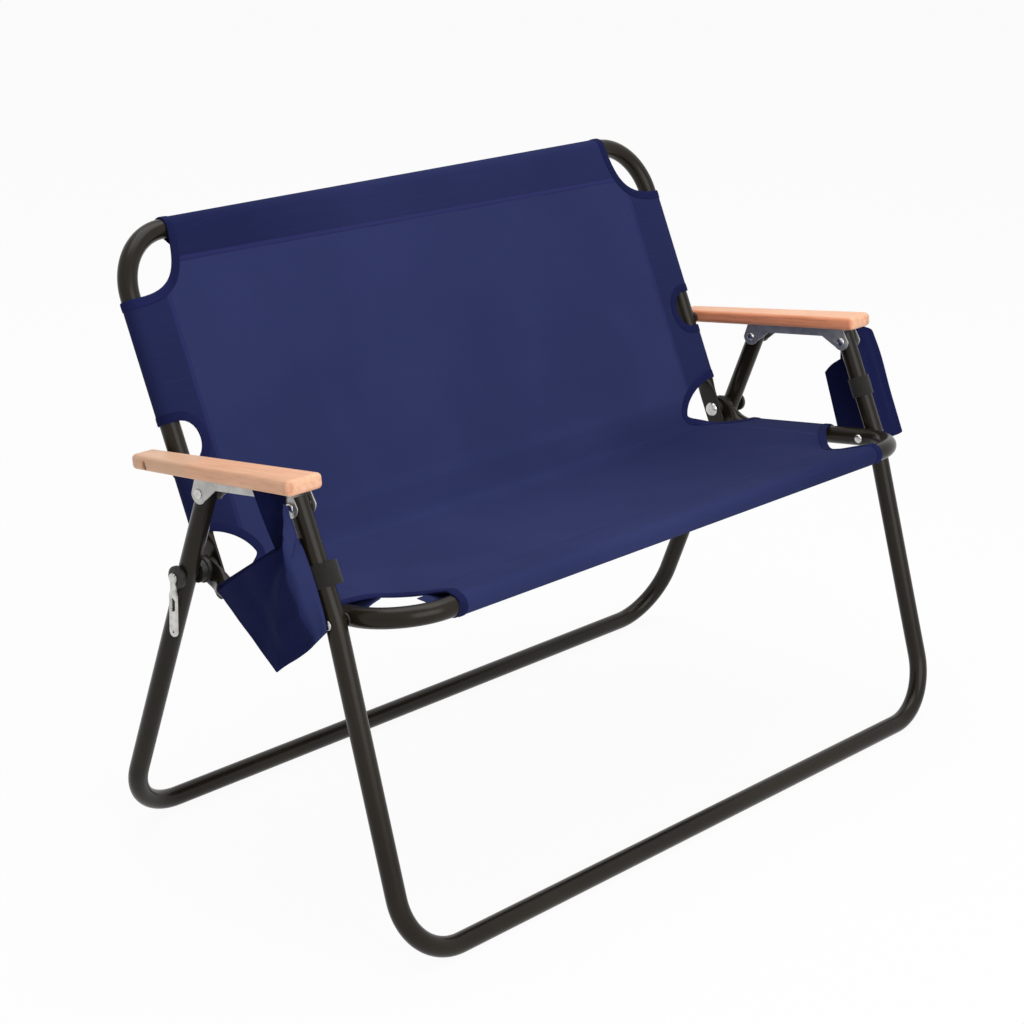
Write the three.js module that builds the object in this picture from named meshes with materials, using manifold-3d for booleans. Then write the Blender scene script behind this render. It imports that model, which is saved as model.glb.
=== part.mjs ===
// Folding camping loveseat: four bent tube frames, a canvas sling, wooden armrests and bottle pockets.
// Millimetres, +Z up, +X along the width, +Y to the rear, origin on the floor under the middle of the box.
import * as THREE from 'three';
import { mergeVertices } from 'three/addons/utils/BufferGeometryUtils.js';
import Module from 'manifold-3d';

const wasm = await Module();
wasm.setup();

const degrees = THREE.MathUtils.degToRad;
const side = (y, z) => new THREE.Vector2(y, z);

// Tube frames
const TUBE_R = 12;
const FOOT_FLAT = 0.4;
const LEG_SPREAD = 1004;
const SEAT_SIDE_GAP = 3;
const BACK_INSET = 12;
const FOOT_BEND = 78;
const BACK_BEND = 74;
const SEAT_BEND = 70;
const KNEE_BEND = 120;
const CRANK_BEND = 50;

// Side view, measured from the front ground bar and the floor
const KNEE_BACK = 125.5;
const KNEE_HEIGHT = 383;
const HINGE_BACK = 376;
const HINGE_HEIGHT = 366.5;
const REAR_FOOT = 498.5;
const RECLINE = degrees(26.3);
const ARM_LINK = 133;
const BACK_LENGTH = 397;
const SEAT_TILT = degrees(9.5);
const SEAT_OVERHANG = 73;
const CRANK_REACH = 44;
const LEG_TOP = 9;

// Flattened tube ends
const TONGUE_THICK = 5;
const BACK_TONGUE_WIDE = 28;
const BACK_TONGUE_TAIL = 40;
const BACK_TONGUE_RISE = 22;
const BACK_TONGUE_INSET = 1.8;
const SEAT_TONGUE_WIDE = 32;
const SEAT_TONGUE_TAIL = 14;
const SEAT_TONGUE_RUN = 16;
const SEAT_TONGUE_INSET = 1.5;
const SWELL_RUN = 20;

// Clearances
const SEAM_GAP = 0.3;
const PIN_GAP = 0.35;

// Armrest boards and their brackets
const ARM_NOSE = 23;
const ARM_TAIL = 26;
const ARM_BOLT_RISE = 24.1;
const ARM_THICK = 18;
const ARM_RISE = 17;
const ARM_BACK_GAP = 4.7;
const ARM_REAR_WIDE = 34;
const ARM_FRONT_WIDE = 50;
const ARM_FRONT_SHIFT = 4;
const ARM_CORNER = 6;
const ARM_EDGE = 2;
const SHEET = 1.5;
const CHANNEL_GAP = 0.6;
const LOBE_R = 12;
const BRACKET_WAIST = 10;
const BRACKET_SLOPE = 22;
const BRACKET_END_INSET = 8;

// Pins, bolts and washers
const RIVET_R = 3.2;
const RIVET_HEAD_R = 6;
const RIVET_HEAD = 2.2;
const HINGE_R = 4;
const HINGE_HEAD_R = 10;
const HINGE_HEAD = 4;
const BUSH_R = 16;
const WASHER_R = 12;
const CAP_R = 10;
const CAP_LENGTH = 7;
const SPACER_R = 8;
const ARM_BOLT_R = 3;
const ARM_BOLT_HEAD_R = 5;
const ARM_BOLT_HEAD = 4;
const ARM_BOLT_BITE = 15;
const SCREW_R = 2;
const SCREW_HEAD_R = 4;
const SCREW_HEAD = 2;
const SCREW_BITE = 11;
const SCREW_INSET = 47;
const NOTCH_HALF_ANGLE = degrees(30);

// Canvas sling
const CLOTH = 1.5;
const TOP_SLEEVE_INSET = 75;
const TOP_NOTCH_DROP = 78;
const ARM_NOTCH_HALF = 26;
const ARM_NOTCH_DEPTH = 29;
const ARM_NOTCH_RISE = 14;
const HINGE_NOTCH_RISE = 46;
const HINGE_NOTCH_RUN = 60;
const CREASE_INSET = 72;
const CREASE_RISE = 30;
const CREASE_RUN = 26;
const FRONT_SLEEVE_INSET = 75;
const FRONT_NOTCH_BACK = 32;

// Bottle pockets and leg straps
const POCKET_GAP = 5.5;
const POCKET_WALL = 2;
const POCKET_DEPTH = 47;
const POCKET_FOOT_DEPTH = 13;
const FLAP_THICK = 1.6;
const LEFT_FLAP_REAR = 58;
const RIGHT_FLAP_REAR = 20;
const FLAP_FRONT = 18;
const FLAP_FOOT = 0.84;
const LEFT_POCKET_AHEAD = 11.5;
const LEFT_POCKET_BELOW = 8;
const LEFT_POCKET_FOOT = 98.7;
const LEFT_POCKET_FRONT = 105.2;
const LEFT_POCKET_MOUTH = 137.6;
const LEFT_POCKET_FOOT_DIP = degrees(39.7);
const LEFT_POCKET_FRONT_LEAN = degrees(53.9);
const LEFT_POCKET_MOUTH_DIP = degrees(37.6);
const RIGHT_POCKET_AHEAD = 22.5;
const RIGHT_POCKET_BELOW = 1;
const RIGHT_POCKET_FOOT = 104.1;
const RIGHT_POCKET_FRONT = 106.9;
const RIGHT_POCKET_MOUTH = 94;
const RIGHT_POCKET_FOOT_DIP = degrees(11.6);
const RIGHT_POCKET_FRONT_LEAN = degrees(63.9);
const RIGHT_POCKET_MOUTH_DIP = degrees(16.7);
const STRAP_THICK = 2.2;
const STRAP_LENGTH = 27;
const STRAP_RISE = 53;

// Bottle opener
const OPENER_THICK = 2.5;
const OPENER_LENGTH = 72;
const OPENER_HALF = 6.5;
const OPENER_EYE_R = 6.2;
const OPENER_STUD_R = 3;
const OPENER_STUD_HEAD_R = 5.5;

// Facets
const TUBE_SIDES = 16;
const ROUND_SIDES = 20;
const SMALL_SIDES = 14;
const BEND_STEP = degrees(13);
const CURVE_STEPS = 8;
const POCKET_STEPS = 12;

// Derived places
const KNEE = side(KNEE_BACK, KNEE_HEIGHT);
const HINGE = side(HINGE_BACK, HINGE_HEIGHT);
const legX = LEG_SPREAD / 2;
const seatX = legX - 2 * TUBE_R - SEAT_SIDE_GAP;
const backX = seatX - BACK_INSET;
const footZ = TUBE_R - FOOT_FLAT;
const upBack = side(Math.sin(RECLINE), Math.cos(RECLINE));
const frontFoot = side(0, footZ);
const rearFoot = side(REAR_FOOT, footZ);
const alongRear = HINGE.clone().sub(rearFoot).normalize();
const frontPivot = KNEE.clone().addScaledVector(upBack, ARM_LINK);
const armPivot = HINGE.clone().addScaledVector(upBack, ARM_LINK);
const armReach = armPivot.clone().sub(frontPivot);
const armTilt = armReach.angle() - Math.asin(ARM_BOLT_RISE / armReach.length());
const alongArm = side(Math.cos(armTilt), Math.sin(armTilt));
const bracketSpan = HINGE.clone().sub(frontPivot).cross(alongRear) / alongArm.cross(alongRear);
const rearPivot = frontPivot.clone().addScaledVector(alongArm, bracketSpan);
const backTop = HINGE.clone().addScaledVector(upBack, BACK_LENGTH);
const seatRear = side(Math.cos(SEAT_TILT), -Math.sin(SEAT_TILT));
const sleeveR = TUBE_R + SEAM_GAP + CLOTH;
const centreY = (backTop.x + sleeveR - TUBE_R) / 2;
const bracketInner = TUBE_R + CHANNEL_GAP;
const bracketOuter = bracketInner + SHEET;

const place = (x, point) => new THREE.Vector3(x, point.x - centreY, point.y);

// Materials
function finish(color, roughness, metalness) {
  return new THREE.MeshStandardMaterial({ color, roughness, metalness });
}

const tubePaint = finish(0x23211c, 0.42, 0.55);
const canvas = finish(0x2a3164, 0.9, 0);
const canvasDark = finish(0x191e46, 0.9, 0);
const beech = finish(0xe2ad86, 0.55, 0);
const zinc = finish(0x8b8f98, 0.35, 0.9);
const steel = finish(0xc4c4c2, 0.28, 1);
const blackPlastic = finish(0x171716, 0.5, 0);
const webbing = finish(0x1d1c1a, 0.85, 0);

// Closed geometry to solid and back
function solidOf(geometry) {
  const bare = geometry.clone();
  bare.deleteAttribute('normal');
  bare.deleteAttribute('uv');
  const merged = mergeVertices(bare, 1e-4);
  return new wasm.Manifold(new wasm.Mesh({
    numProp: 3,
    vertProperties: new Float32Array(merged.attributes.position.array),
    triVerts: new Uint32Array(merged.index.array),
  }));
}

function geometryOf(solid) {
  const mesh = solid.getMesh();
  const geometry = new THREE.BufferGeometry();
  geometry.setAttribute('position', new THREE.BufferAttribute(new Float32Array(mesh.vertProperties), 3));
  geometry.setIndex(new THREE.BufferAttribute(new Uint32Array(mesh.triVerts), 1));
  geometry.computeVertexNormals();
  return geometry;
}

function cut(geometry, ...tools) {
  return geometryOf(tools.reduce((solid, tool) => solid.subtract(solidOf(tool)), solidOf(geometry)));
}

function join(geometry, ...more) {
  return geometryOf(more.reduce((solid, other) => solid.add(solidOf(other)), solidOf(geometry)));
}

// One welded surface without empty triangles, its faces turned outwards
function outward(geometry) {
  const bare = geometry.clone();
  bare.deleteAttribute('normal');
  bare.deleteAttribute('uv');
  const welded = mergeVertices(bare, 1e-4);
  const positions = welded.attributes.position;
  const corner = (k) => new THREE.Vector3().fromBufferAttribute(positions, k);
  const faces = [];
  let volume = 0;
  for (let k = 0; k < welded.index.count; k += 3) {
    const [a, b, c] = [0, 1, 2].map((step) => welded.index.getX(k + step));
    if (a !== b && b !== c && c !== a) {
      faces.push(a, b, c);
      volume += corner(a).dot(corner(b).cross(corner(c)));
    }
  }
  welded.setIndex(volume < 0 ? faces.toReversed() : faces);
  welded.computeVertexNormals();
  return welded;
}

// Triangles over a list of rings with equal point counts, capped at both ends and turned outwards
function skin(rings, closed = false) {
  const count = rings[0].length;
  const positions = rings.flat().flatMap((point) => [point.x, point.y, point.z]);
  const index = [];
  const spans = closed ? rings.length : rings.length - 1;
  for (let ring = 0; ring < spans; ring += 1) {
    const next = (ring + 1) % rings.length;
    for (let k = 0; k < count; k += 1) {
      const right = (k + 1) % count;
      const corners = [ring * count + k, ring * count + right, next * count + k, next * count + right];
      index.push(corners[0], corners[1], corners[2], corners[1], corners[3], corners[2]);
    }
  }
  if (!closed) {
    const last = (rings.length - 1) * count;
    for (let k = 1; k < count - 1; k += 1) {
      index.push(0, k + 1, k, last, last + k, last + k + 1);
    }
  }
  const geometry = new THREE.BufferGeometry();
  geometry.setAttribute('position', new THREE.Float32BufferAttribute(positions, 3));
  geometry.setIndex(index);
  return outward(geometry);
}

// Stations along a bent route: straight runs between arcs of the given radii
function stations(corners, radii) {
  const list = [];
  const add = (point, tangent) => list.push({ point, tangent });
  const heading = (k) => corners[k + 1].clone().sub(corners[k]).normalize();
  add(corners[0].clone(), heading(0));
  for (let k = 1; k < corners.length - 1; k += 1) {
    const before = heading(k - 1);
    const after = heading(k);
    const turn = before.angleTo(after);
    const reach = radii[k - 1] * Math.tan(turn / 2);
    const start = corners[k].clone().addScaledVector(before, -reach);
    const inward = after.clone().addScaledVector(before, -after.dot(before)).normalize();
    const steps = Math.max(2, Math.ceil(turn / BEND_STEP));
    for (let step = 0; step <= steps; step += 1) {
      const angle = (turn * step) / steps;
      const point = start.clone().addScaledVector(before, radii[k - 1] * Math.sin(angle))
        .addScaledVector(inward, radii[k - 1] * (1 - Math.cos(angle)));
      const tangent = before.clone().multiplyScalar(Math.cos(angle)).addScaledVector(inward, Math.sin(angle));
      add(point, tangent);
    }
  }
  const end = corners.length - 1;
  add(corners[end].clone(), heading(end - 1));
  return list;
}

// Extra stations at set distances from both ends, for the flattened stretches
function withEnds(list, distances) {
  const length = list.length;
  const from = (origin, sign) => distances.map((distance) => ({
    point: origin.point.clone().addScaledVector(origin.tangent, sign * distance),
    tangent: origin.tangent.clone(),
  }));
  const head = from(list[0], 1);
  const tail = from(list[length - 1], -1).toReversed();
  return [list[0], ...head, ...list.slice(1, -1), ...tail, list[length - 1]];
}

// Round tube that may be pressed flat near its ends; the profile rows run from the free end inwards
function tube(corners, radii, normal, profile = []) {
  const round = { wide: TUBE_R, thick: TUBE_R, inset: 0, square: 2 };
  const rows = withEnds(stations(corners, radii), profile.slice(1).map((row) => row.at));
  const lift = normal.clone();
  const turn = new THREE.Quaternion();
  const rings = rows.map((row, k) => {
    if (k > 0) {
      lift.applyQuaternion(turn.setFromUnitVectors(rows[k - 1].tangent, row.tangent));
    }
    const fromEnd = Math.min(k, rows.length - 1 - k);
    const shape = fromEnd < profile.length ? profile[fromEnd] : round;
    const across = lift.clone().cross(row.tangent);
    const middle = row.point.clone();
    middle.x -= Math.sign(middle.x) * shape.inset;
    const power = 2 / shape.square;
    return Array.from({ length: TUBE_SIDES }, (_, step) => {
      const angle = (2 * Math.PI * (step + 0.5)) / TUBE_SIDES;
      const cos = Math.cos(angle);
      const sin = Math.sin(angle);
      return middle.clone()
        .addScaledVector(lift, shape.wide * Math.sign(cos) * Math.abs(cos) ** power)
        .addScaledVector(across, shape.thick * Math.sign(sin) * Math.abs(sin) ** power);
    });
  });
  return skin(rings);
}

// Corner points of a U frame, from the left free end round the cross bar to the right free end
function uRoute(x, legPoints, toWorld) {
  const left = legPoints.map((point) => toWorld(-x, point));
  const right = legPoints.toReversed().map((point) => toWorld(x, point));
  return [...left, ...right];
}

// A tongue with a round nose that swells into the round tube
function tongue(wide, flatRun, inset) {
  const flat = { thick: TONGUE_THICK / 2, inset, square: 4 };
  const half = wide / 2;
  return [
    { at: 0, wide: half * 0.42, ...flat },
    { at: half * 0.12, wide: half * 0.66, ...flat },
    { at: half * 0.4, wide: half * 0.88, ...flat },
    { at: half, wide: half, ...flat },
    { at: flatRun, wide: half, ...flat },
    {
      at: flatRun + SWELL_RUN / 2,
      wide: (half + TUBE_R) / 2,
      thick: TUBE_R * 0.62,
      inset: inset / 2,
      square: 2.6,
    },
    { at: flatRun + SWELL_RUN, wide: TUBE_R, thick: TUBE_R, inset: 0, square: 2 },
  ];
}

// Cylinder along X between two X values
function rod(x0, x1, radius, y, z, sides = ROUND_SIDES) {
  const geometry = new THREE.CylinderGeometry(radius, radius, Math.abs(x1 - x0), sides);
  geometry.rotateZ(-Math.PI / 2);
  geometry.translate((x0 + x1) / 2, y, z);
  return geometry;
}

// Revolved piece about X: rows are [distance along X, radius], starting and ending on the axis
function turned(rows, sides = SMALL_SIDES) {
  const profile = rows.map(([along, radius]) => new THREE.Vector2(radius, along));
  const geometry = new THREE.LatheGeometry(profile, sides);
  geometry.rotateZ(-Math.PI / 2);
  return outward(geometry);
}

// Headed pin about X with a domed head on each end
function rivet(length, radius, headR, head) {
  return turned([
    [-head, 0], [-head, headR * 0.45], [-head * 0.6, headR * 0.86], [0, headR], [0, radius],
    [length, radius], [length, headR], [length + head * 0.6, headR * 0.86], [length + head, headR * 0.45],
    [length + head, 0],
  ]);
}

// Ring about X
function ring(x0, x1, inner, outer, sides = ROUND_SIDES) {
  return turned([[x0, inner], [x0, outer], [x1, outer], [x1, inner], [x0, inner]], sides);
}

// Outline points without repeats where an arc meets a line
function tidyPoints(path, segments) {
  const points = path.getPoints(segments);
  return points.filter((point, k) => point.distanceTo(points.at(k - 1)) > 1e-3);
}

// Flat outline in the side view, thickened along X
function sideSheet(shape, x0, x1, segments = 8) {
  const rim = tidyPoints(shape, segments);
  const outline = new THREE.Shape(THREE.ShapeUtils.isClockWise(rim) ? rim.toReversed() : rim);
  outline.holes = shape.holes.map((hole) => new THREE.Path(tidyPoints(hole, segments)));
  const geometry = new THREE.ExtrudeGeometry(outline, { depth: x1 - x0, bevelEnabled: false });
  geometry.applyMatrix4(new THREE.Matrix4().makeBasis(
    new THREE.Vector3(0, 1, 0), new THREE.Vector3(0, 0, 1), new THREE.Vector3(1, 0, 0),
  ));
  geometry.translate(x0, 0, 0);
  return geometry;
}

// Mirror in the middle plane, keeping the faces outwards
function mirrored(geometry) {
  return outward(geometry.clone().scale(-1, 1, 1));
}

const loveseat = new THREE.Group();

function add(group, name, geometry, material) {
  const mesh = new THREE.Mesh(geometry, material);
  mesh.name = name;
  group.add(mesh);
  return mesh;
}

function addPair(group, name, rightGeometry, material) {
  add(group, `${name}_right`, rightGeometry, material);
  add(group, `${name}_left`, mirrored(rightGeometry), material);
}

// Groups that lean with their frames: local z runs up the backrest, local y runs back along seat and arm
function leaning(point, angle) {
  const group = new THREE.Group();
  group.position.copy(place(0, point));
  group.rotation.x = angle;
  loveseat.add(group);
  return group;
}

const backGroup = leaning(HINGE, -RECLINE);
const seatGroup = leaning(KNEE, -SEAT_TILT);
const armGroup = leaning(frontPivot, armTilt);

// A side-view point in a leaning group's own y and z
function within(group, point) {
  const local = place(0, point).sub(group.position).applyEuler(new THREE.Euler(-group.rotation.x, 0, 0));
  return side(local.y, local.z);
}

const hingeInSeat = within(seatGroup, HINGE);
const armPivotInArm = within(armGroup, armPivot);

// Ground bars are pressed flat where they stand
const floorBlock = new THREE.BoxGeometry(2 * LEG_SPREAD, 2 * REAR_FOOT, TUBE_R);
floorBlock.translate(0, 0, -TUBE_R / 2);

const throughLegs = (point, radius) => {
  const spot = place(0, point);
  return rod(-LEG_SPREAD, LEG_SPREAD, radius, spot.y, spot.z);
};

function frontLegFrame() {
  const top = frontPivot.clone().addScaledVector(upBack, LEG_TOP);
  const route = uRoute(legX, [top, KNEE, frontFoot], place);
  const normal = new THREE.Vector3(0, -upBack.y, upBack.x);
  const bare = tube(route, [KNEE_BEND, FOOT_BEND, FOOT_BEND, KNEE_BEND], normal);
  const bore = RIVET_R + PIN_GAP;
  return cut(bare, floorBlock, throughLegs(frontPivot, bore), throughLegs(KNEE, bore));
}

// The notch at the top is a V with a round seat, open upwards along the leg
function rearNotch() {
  const seat = RIVET_R + PIN_GAP;
  const mouth = 2 * LEG_TOP;
  const flare = seat / Math.cos(NOTCH_HALF_ANGLE) + mouth * Math.tan(NOTCH_HALF_ANGLE);
  const shape = new THREE.Shape();
  const tangent = side(seat * Math.cos(NOTCH_HALF_ANGLE), -seat * Math.sin(NOTCH_HALF_ANGLE));
  shape.moveTo(flare, mouth);
  shape.lineTo(-flare, mouth);
  shape.lineTo(-tangent.x, tangent.y);
  shape.absarc(0, 0, seat, Math.PI + NOTCH_HALF_ANGLE, -NOTCH_HALF_ANGLE, false);
  shape.closePath();
  const block = sideSheet(shape, -LEG_SPREAD, LEG_SPREAD);
  block.rotateX(Math.atan2(alongRear.y, alongRear.x) - Math.PI / 2);
  const spot = place(0, rearPivot);
  block.translate(0, spot.y, spot.z);
  return block;
}

function rearLegFrame() {
  const top = rearPivot.clone().addScaledVector(alongRear, LEG_TOP);
  const route = uRoute(legX, [top, rearFoot], place);
  const normal = new THREE.Vector3(0, alongRear.y, -alongRear.x);
  const bare = tube(route, [FOOT_BEND, FOOT_BEND], normal);
  return cut(bare, floorBlock, throughLegs(HINGE, HINGE_R + PIN_GAP), rearNotch());
}

function backrestFrame() {
  const leg = [side(0, -BACK_TONGUE_TAIL), side(0, BACK_LENGTH)];
  const route = uRoute(backX, leg, (x, point) => new THREE.Vector3(x, point.x, point.y));
  const profile = tongue(BACK_TONGUE_WIDE, BACK_TONGUE_TAIL + BACK_TONGUE_RISE, BACK_TONGUE_INSET);
  const bare = tube(route, [BACK_BEND, BACK_BEND], new THREE.Vector3(0, -1, 0), profile);
  const bite = backX + TUBE_R - ARM_BOLT_BITE;
  const boltHole = (sign) => rod(sign * bite, sign * legX, ARM_BOLT_R + PIN_GAP, 0, ARM_LINK);
  const hingeHole = rod(-legX, legX, HINGE_R + PIN_GAP, 0, 0);
  return cut(bare, hingeHole, boltHole(1), boltHole(-1));
}

function seatFrame() {
  const crank = side(hingeInSeat.x - CRANK_REACH, 0);
  const out = hingeInSeat.clone().sub(crank).normalize();
  const end = hingeInSeat.clone().addScaledVector(out, SEAT_TONGUE_TAIL);
  const frontBar = side(-SEAT_OVERHANG, 0);
  const route = uRoute(seatX, [end, crank, frontBar], (x, point) => new THREE.Vector3(x, point.x, point.y));
  const profile = tongue(SEAT_TONGUE_WIDE, SEAT_TONGUE_TAIL + SEAT_TONGUE_RUN, SEAT_TONGUE_INSET);
  const normal = new THREE.Vector3(0, -out.y, out.x);
  const bare = tube(route, [CRANK_BEND, SEAT_BEND, SEAT_BEND, CRANK_BEND], normal, profile);
  const hingeHole = rod(-legX, legX, HINGE_R + PIN_GAP, hingeInSeat.x, hingeInSeat.y);
  const rivetHole = rod(-legX, legX, RIVET_R + PIN_GAP, 0, 0);
  return cut(bare, hingeHole, rivetHole);
}

add(loveseat, 'front_leg_frame', frontLegFrame(), tubePaint);
add(loveseat, 'rear_leg_frame', rearLegFrame(), tubePaint);
add(backGroup, 'backrest_frame', backrestFrame(), tubePaint);
add(seatGroup, 'seat_frame', seatFrame(), tubePaint);

// Armrest boards, in the arm group: y back from the front pivot, z up from the pivot line
const armInner = backX + TUBE_R + ARM_BACK_GAP;
const armRearEnd = armPivotInArm.x + ARM_TAIL;
const boardBottom = ARM_RISE;
const boardTop = ARM_RISE + ARM_THICK;

function roundedOutline(corners, radius) {
  const shape = new THREE.Shape();
  corners.forEach((corner, k) => {
    const before = corners[(k + corners.length - 1) % corners.length];
    const after = corners[(k + 1) % corners.length];
    const enter = corner.clone().add(before.clone().sub(corner).setLength(radius));
    const leave = corner.clone().add(after.clone().sub(corner).setLength(radius));
    if (k === 0) {
      shape.moveTo(enter.x, enter.y);
    } else {
      shape.lineTo(enter.x, enter.y);
    }
    shape.quadraticCurveTo(corner.x, corner.y, leave.x, leave.y);
  });
  shape.closePath();
  return shape;
}

const screwRows = [SCREW_INSET, bracketSpan - SCREW_INSET];
const armBoltHeadX = armInner + ARM_REAR_WIDE - ARM_EDGE - ARM_BOLT_HEAD;

// Upright holes for the two screws, centred on a height
function screwHoles(z, depth) {
  return screwRows.map((row) => {
    const hole = new THREE.CylinderGeometry(SCREW_R + PIN_GAP, SCREW_R + PIN_GAP, 2 * depth, SMALL_SIDES);
    hole.rotateX(Math.PI / 2);
    hole.translate(legX, row, z);
    return hole;
  });
}

function armrestBoard() {
  const outline = roundedOutline([
    side(armInner + ARM_EDGE, armRearEnd - ARM_EDGE),
    side(armInner + ARM_FRONT_SHIFT + ARM_EDGE, ARM_EDGE - ARM_NOSE),
    side(armInner + ARM_FRONT_SHIFT + ARM_FRONT_WIDE - ARM_EDGE, ARM_EDGE - ARM_NOSE),
    side(armInner + ARM_REAR_WIDE - ARM_EDGE, armRearEnd - ARM_EDGE),
  ], ARM_CORNER);
  const board = new THREE.ExtrudeGeometry(outline, {
    depth: ARM_THICK - 2 * ARM_EDGE,
    bevelThickness: ARM_EDGE,
    bevelSize: ARM_EDGE,
    bevelSegments: 2,
    curveSegments: 4,
  });
  board.translate(0, 0, boardBottom + ARM_EDGE);
  const spot = armPivotInArm;
  const boltHole = rod(0, 2 * legX, ARM_BOLT_R + PIN_GAP, spot.x, spot.y);
  const headRoom = rod(armBoltHeadX, 2 * legX, ARM_BOLT_HEAD_R + PIN_GAP, spot.x, spot.y);
  return cut(board, boltHole, headRoom, ...screwHoles(boardBottom, SCREW_BITE + SEAM_GAP));
}

// Stamped channel: two lobes on a waist, the sides hanging from a web under the board
function armBracket() {
  const top = boardBottom - SEAM_GAP;
  const waist = top - BRACKET_WAIST;
  const front = BRACKET_END_INSET - LOBE_R;
  const rear = bracketSpan + LOBE_R - BRACKET_END_INSET;
  const shape = new THREE.Shape();
  const lean = degrees(40);
  const frontLeave = side(LOBE_R * Math.cos(-lean), LOBE_R * Math.sin(-lean));
  shape.moveTo(front, top);
  shape.lineTo(-LOBE_R, 0);
  shape.absarc(0, 0, LOBE_R, Math.PI, 2 * Math.PI - lean, false);
  shape.lineTo(frontLeave.x + BRACKET_SLOPE, waist);
  shape.lineTo(bracketSpan - frontLeave.x - BRACKET_SLOPE, waist);
  shape.lineTo(bracketSpan - frontLeave.x, frontLeave.y);
  shape.absarc(bracketSpan, 0, LOBE_R, Math.PI + lean, 2 * Math.PI, false);
  shape.lineTo(rear, top);
  shape.closePath();
  const block = sideSheet(shape, legX - bracketOuter, legX + bracketOuter, 7);
  const hollow = new THREE.BoxGeometry(2 * bracketInner, 2 * bracketSpan, 2 * ARM_RISE);
  hollow.translate(legX, bracketSpan / 2, top - SHEET - ARM_RISE);
  const pinHole = (y) => rod(0, 2 * legX, RIVET_R + PIN_GAP, y, 0);
  return cut(block, hollow, pinHole(0), pinHole(bracketSpan), ...screwHoles(top, 2 * SHEET));
}

function bracketScrew(row) {
  const seat = boardBottom - SEAM_GAP - SHEET - SEAM_GAP;
  const screw = turned([
    [-SCREW_HEAD, 0], [-SCREW_HEAD, SCREW_HEAD_R * 0.7], [0, SCREW_HEAD_R], [0, SCREW_R],
    [SCREW_BITE - SCREW_R, SCREW_R], [SCREW_BITE, 0],
  ]);
  screw.rotateY(-Math.PI / 2);
  screw.translate(legX, row, seat);
  return screw;
}

addPair(armGroup, 'armrest', armrestBoard(), beech);
addPair(armGroup, 'arm_bracket', armBracket(), zinc);
addPair(armGroup, 'bracket_screw_front', bracketScrew(screwRows[0]), steel);
addPair(armGroup, 'bracket_screw_rear', bracketScrew(screwRows[1]), steel);

// Pins through the bracket's lobes
function bracketPin(y) {
  const pin = rivet(2 * (bracketOuter + SEAM_GAP), RIVET_R, RIVET_HEAD_R, RIVET_HEAD);
  pin.translate(legX - bracketOuter - SEAM_GAP, y, 0);
  return pin;
}

addPair(armGroup, 'front_rivet', bracketPin(0), steel);
addPair(armGroup, 'rear_pin', bracketPin(bracketSpan), steel);

// Bolt from the board's counterbore into the backrest tube, with its spacer
function armBolt() {
  const end = backX + TUBE_R - ARM_BOLT_BITE + SEAM_GAP;
  const seat = armBoltHeadX + SEAM_GAP;
  const bolt = turned([
    [end, 0], [end, ARM_BOLT_R], [seat, ARM_BOLT_R], [seat, ARM_BOLT_HEAD_R],
    [seat + ARM_BOLT_HEAD, ARM_BOLT_HEAD_R], [seat + ARM_BOLT_HEAD, 0],
  ]);
  bolt.translate(0, armPivotInArm.x, armPivotInArm.y);
  return bolt;
}

function armSpacer() {
  const spacer = ring(backX + TUBE_R + SEAM_GAP, armInner - SEAM_GAP, ARM_BOLT_R + PIN_GAP, SPACER_R);
  spacer.translate(0, armPivotInArm.x, armPivotInArm.y);
  return spacer;
}

addPair(armGroup, 'arm_bolt', armBolt(), steel);
addPair(armGroup, 'arm_spacer', armSpacer(), blackPlastic);

// Rivet from the seat tube into the front leg, with its spacer
function seatRivet() {
  const start = seatX - TUBE_R - SEAM_GAP;
  const pin = rivet(legX + TUBE_R + SEAM_GAP - start, RIVET_R, RIVET_HEAD_R, RIVET_HEAD);
  pin.translate(start, 0, 0);
  return pin;
}

addPair(seatGroup, 'seat_rivet', seatRivet(), steel);
addPair(seatGroup, 'seat_spacer', ring(
  seatX + TUBE_R + SEAM_GAP, legX - TUBE_R - SEAM_GAP, RIVET_R + PIN_GAP, SPACER_R,
), blackPlastic);

// Hinge stack, from the inside out: head, backrest tongue, washer, seat tongue, bush, rear leg, cap
const hingeSpot = place(0, HINGE);
const backTongueOut = backX - BACK_TONGUE_INSET + TONGUE_THICK / 2;
const seatTongueIn = seatX - SEAT_TONGUE_INSET - TONGUE_THICK / 2;
const seatTongueOut = seatTongueIn + TONGUE_THICK;
const legIn = legX - TUBE_R;
const legOut = legX + TUBE_R;
const capStart = legOut + SEAM_GAP;
const capEnd = capStart + CAP_LENGTH;

function atHinge(geometry) {
  return geometry.translate(0, hingeSpot.y, hingeSpot.z);
}

function hingeBolt() {
  const seat = backTongueOut - TONGUE_THICK - SEAM_GAP;
  const end = capStart + CAP_LENGTH / 2;
  return atHinge(turned([
    [seat - HINGE_HEAD, 0], [seat - HINGE_HEAD, HINGE_HEAD_R * 0.5],
    [seat - HINGE_HEAD * 0.5, HINGE_HEAD_R * 0.87], [seat, HINGE_HEAD_R],
    [seat, HINGE_R], [end, HINGE_R], [end, 0],
  ], ROUND_SIDES));
}

// The bush is stepped: a wide collar against the seat tongue and a neck against the leg
function hingeBush() {
  const start = seatTongueOut + SEAM_GAP;
  const end = legIn - SEAM_GAP;
  const collar = start + (end - start) * 0.4;
  const bore = HINGE_R + PIN_GAP;
  return atHinge(turned([
    [start, bore], [start, BUSH_R], [collar, BUSH_R], [collar, BUSH_R - 2], [end, BUSH_R - 2], [end, bore],
    [start, bore],
  ], ROUND_SIDES));
}

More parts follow.
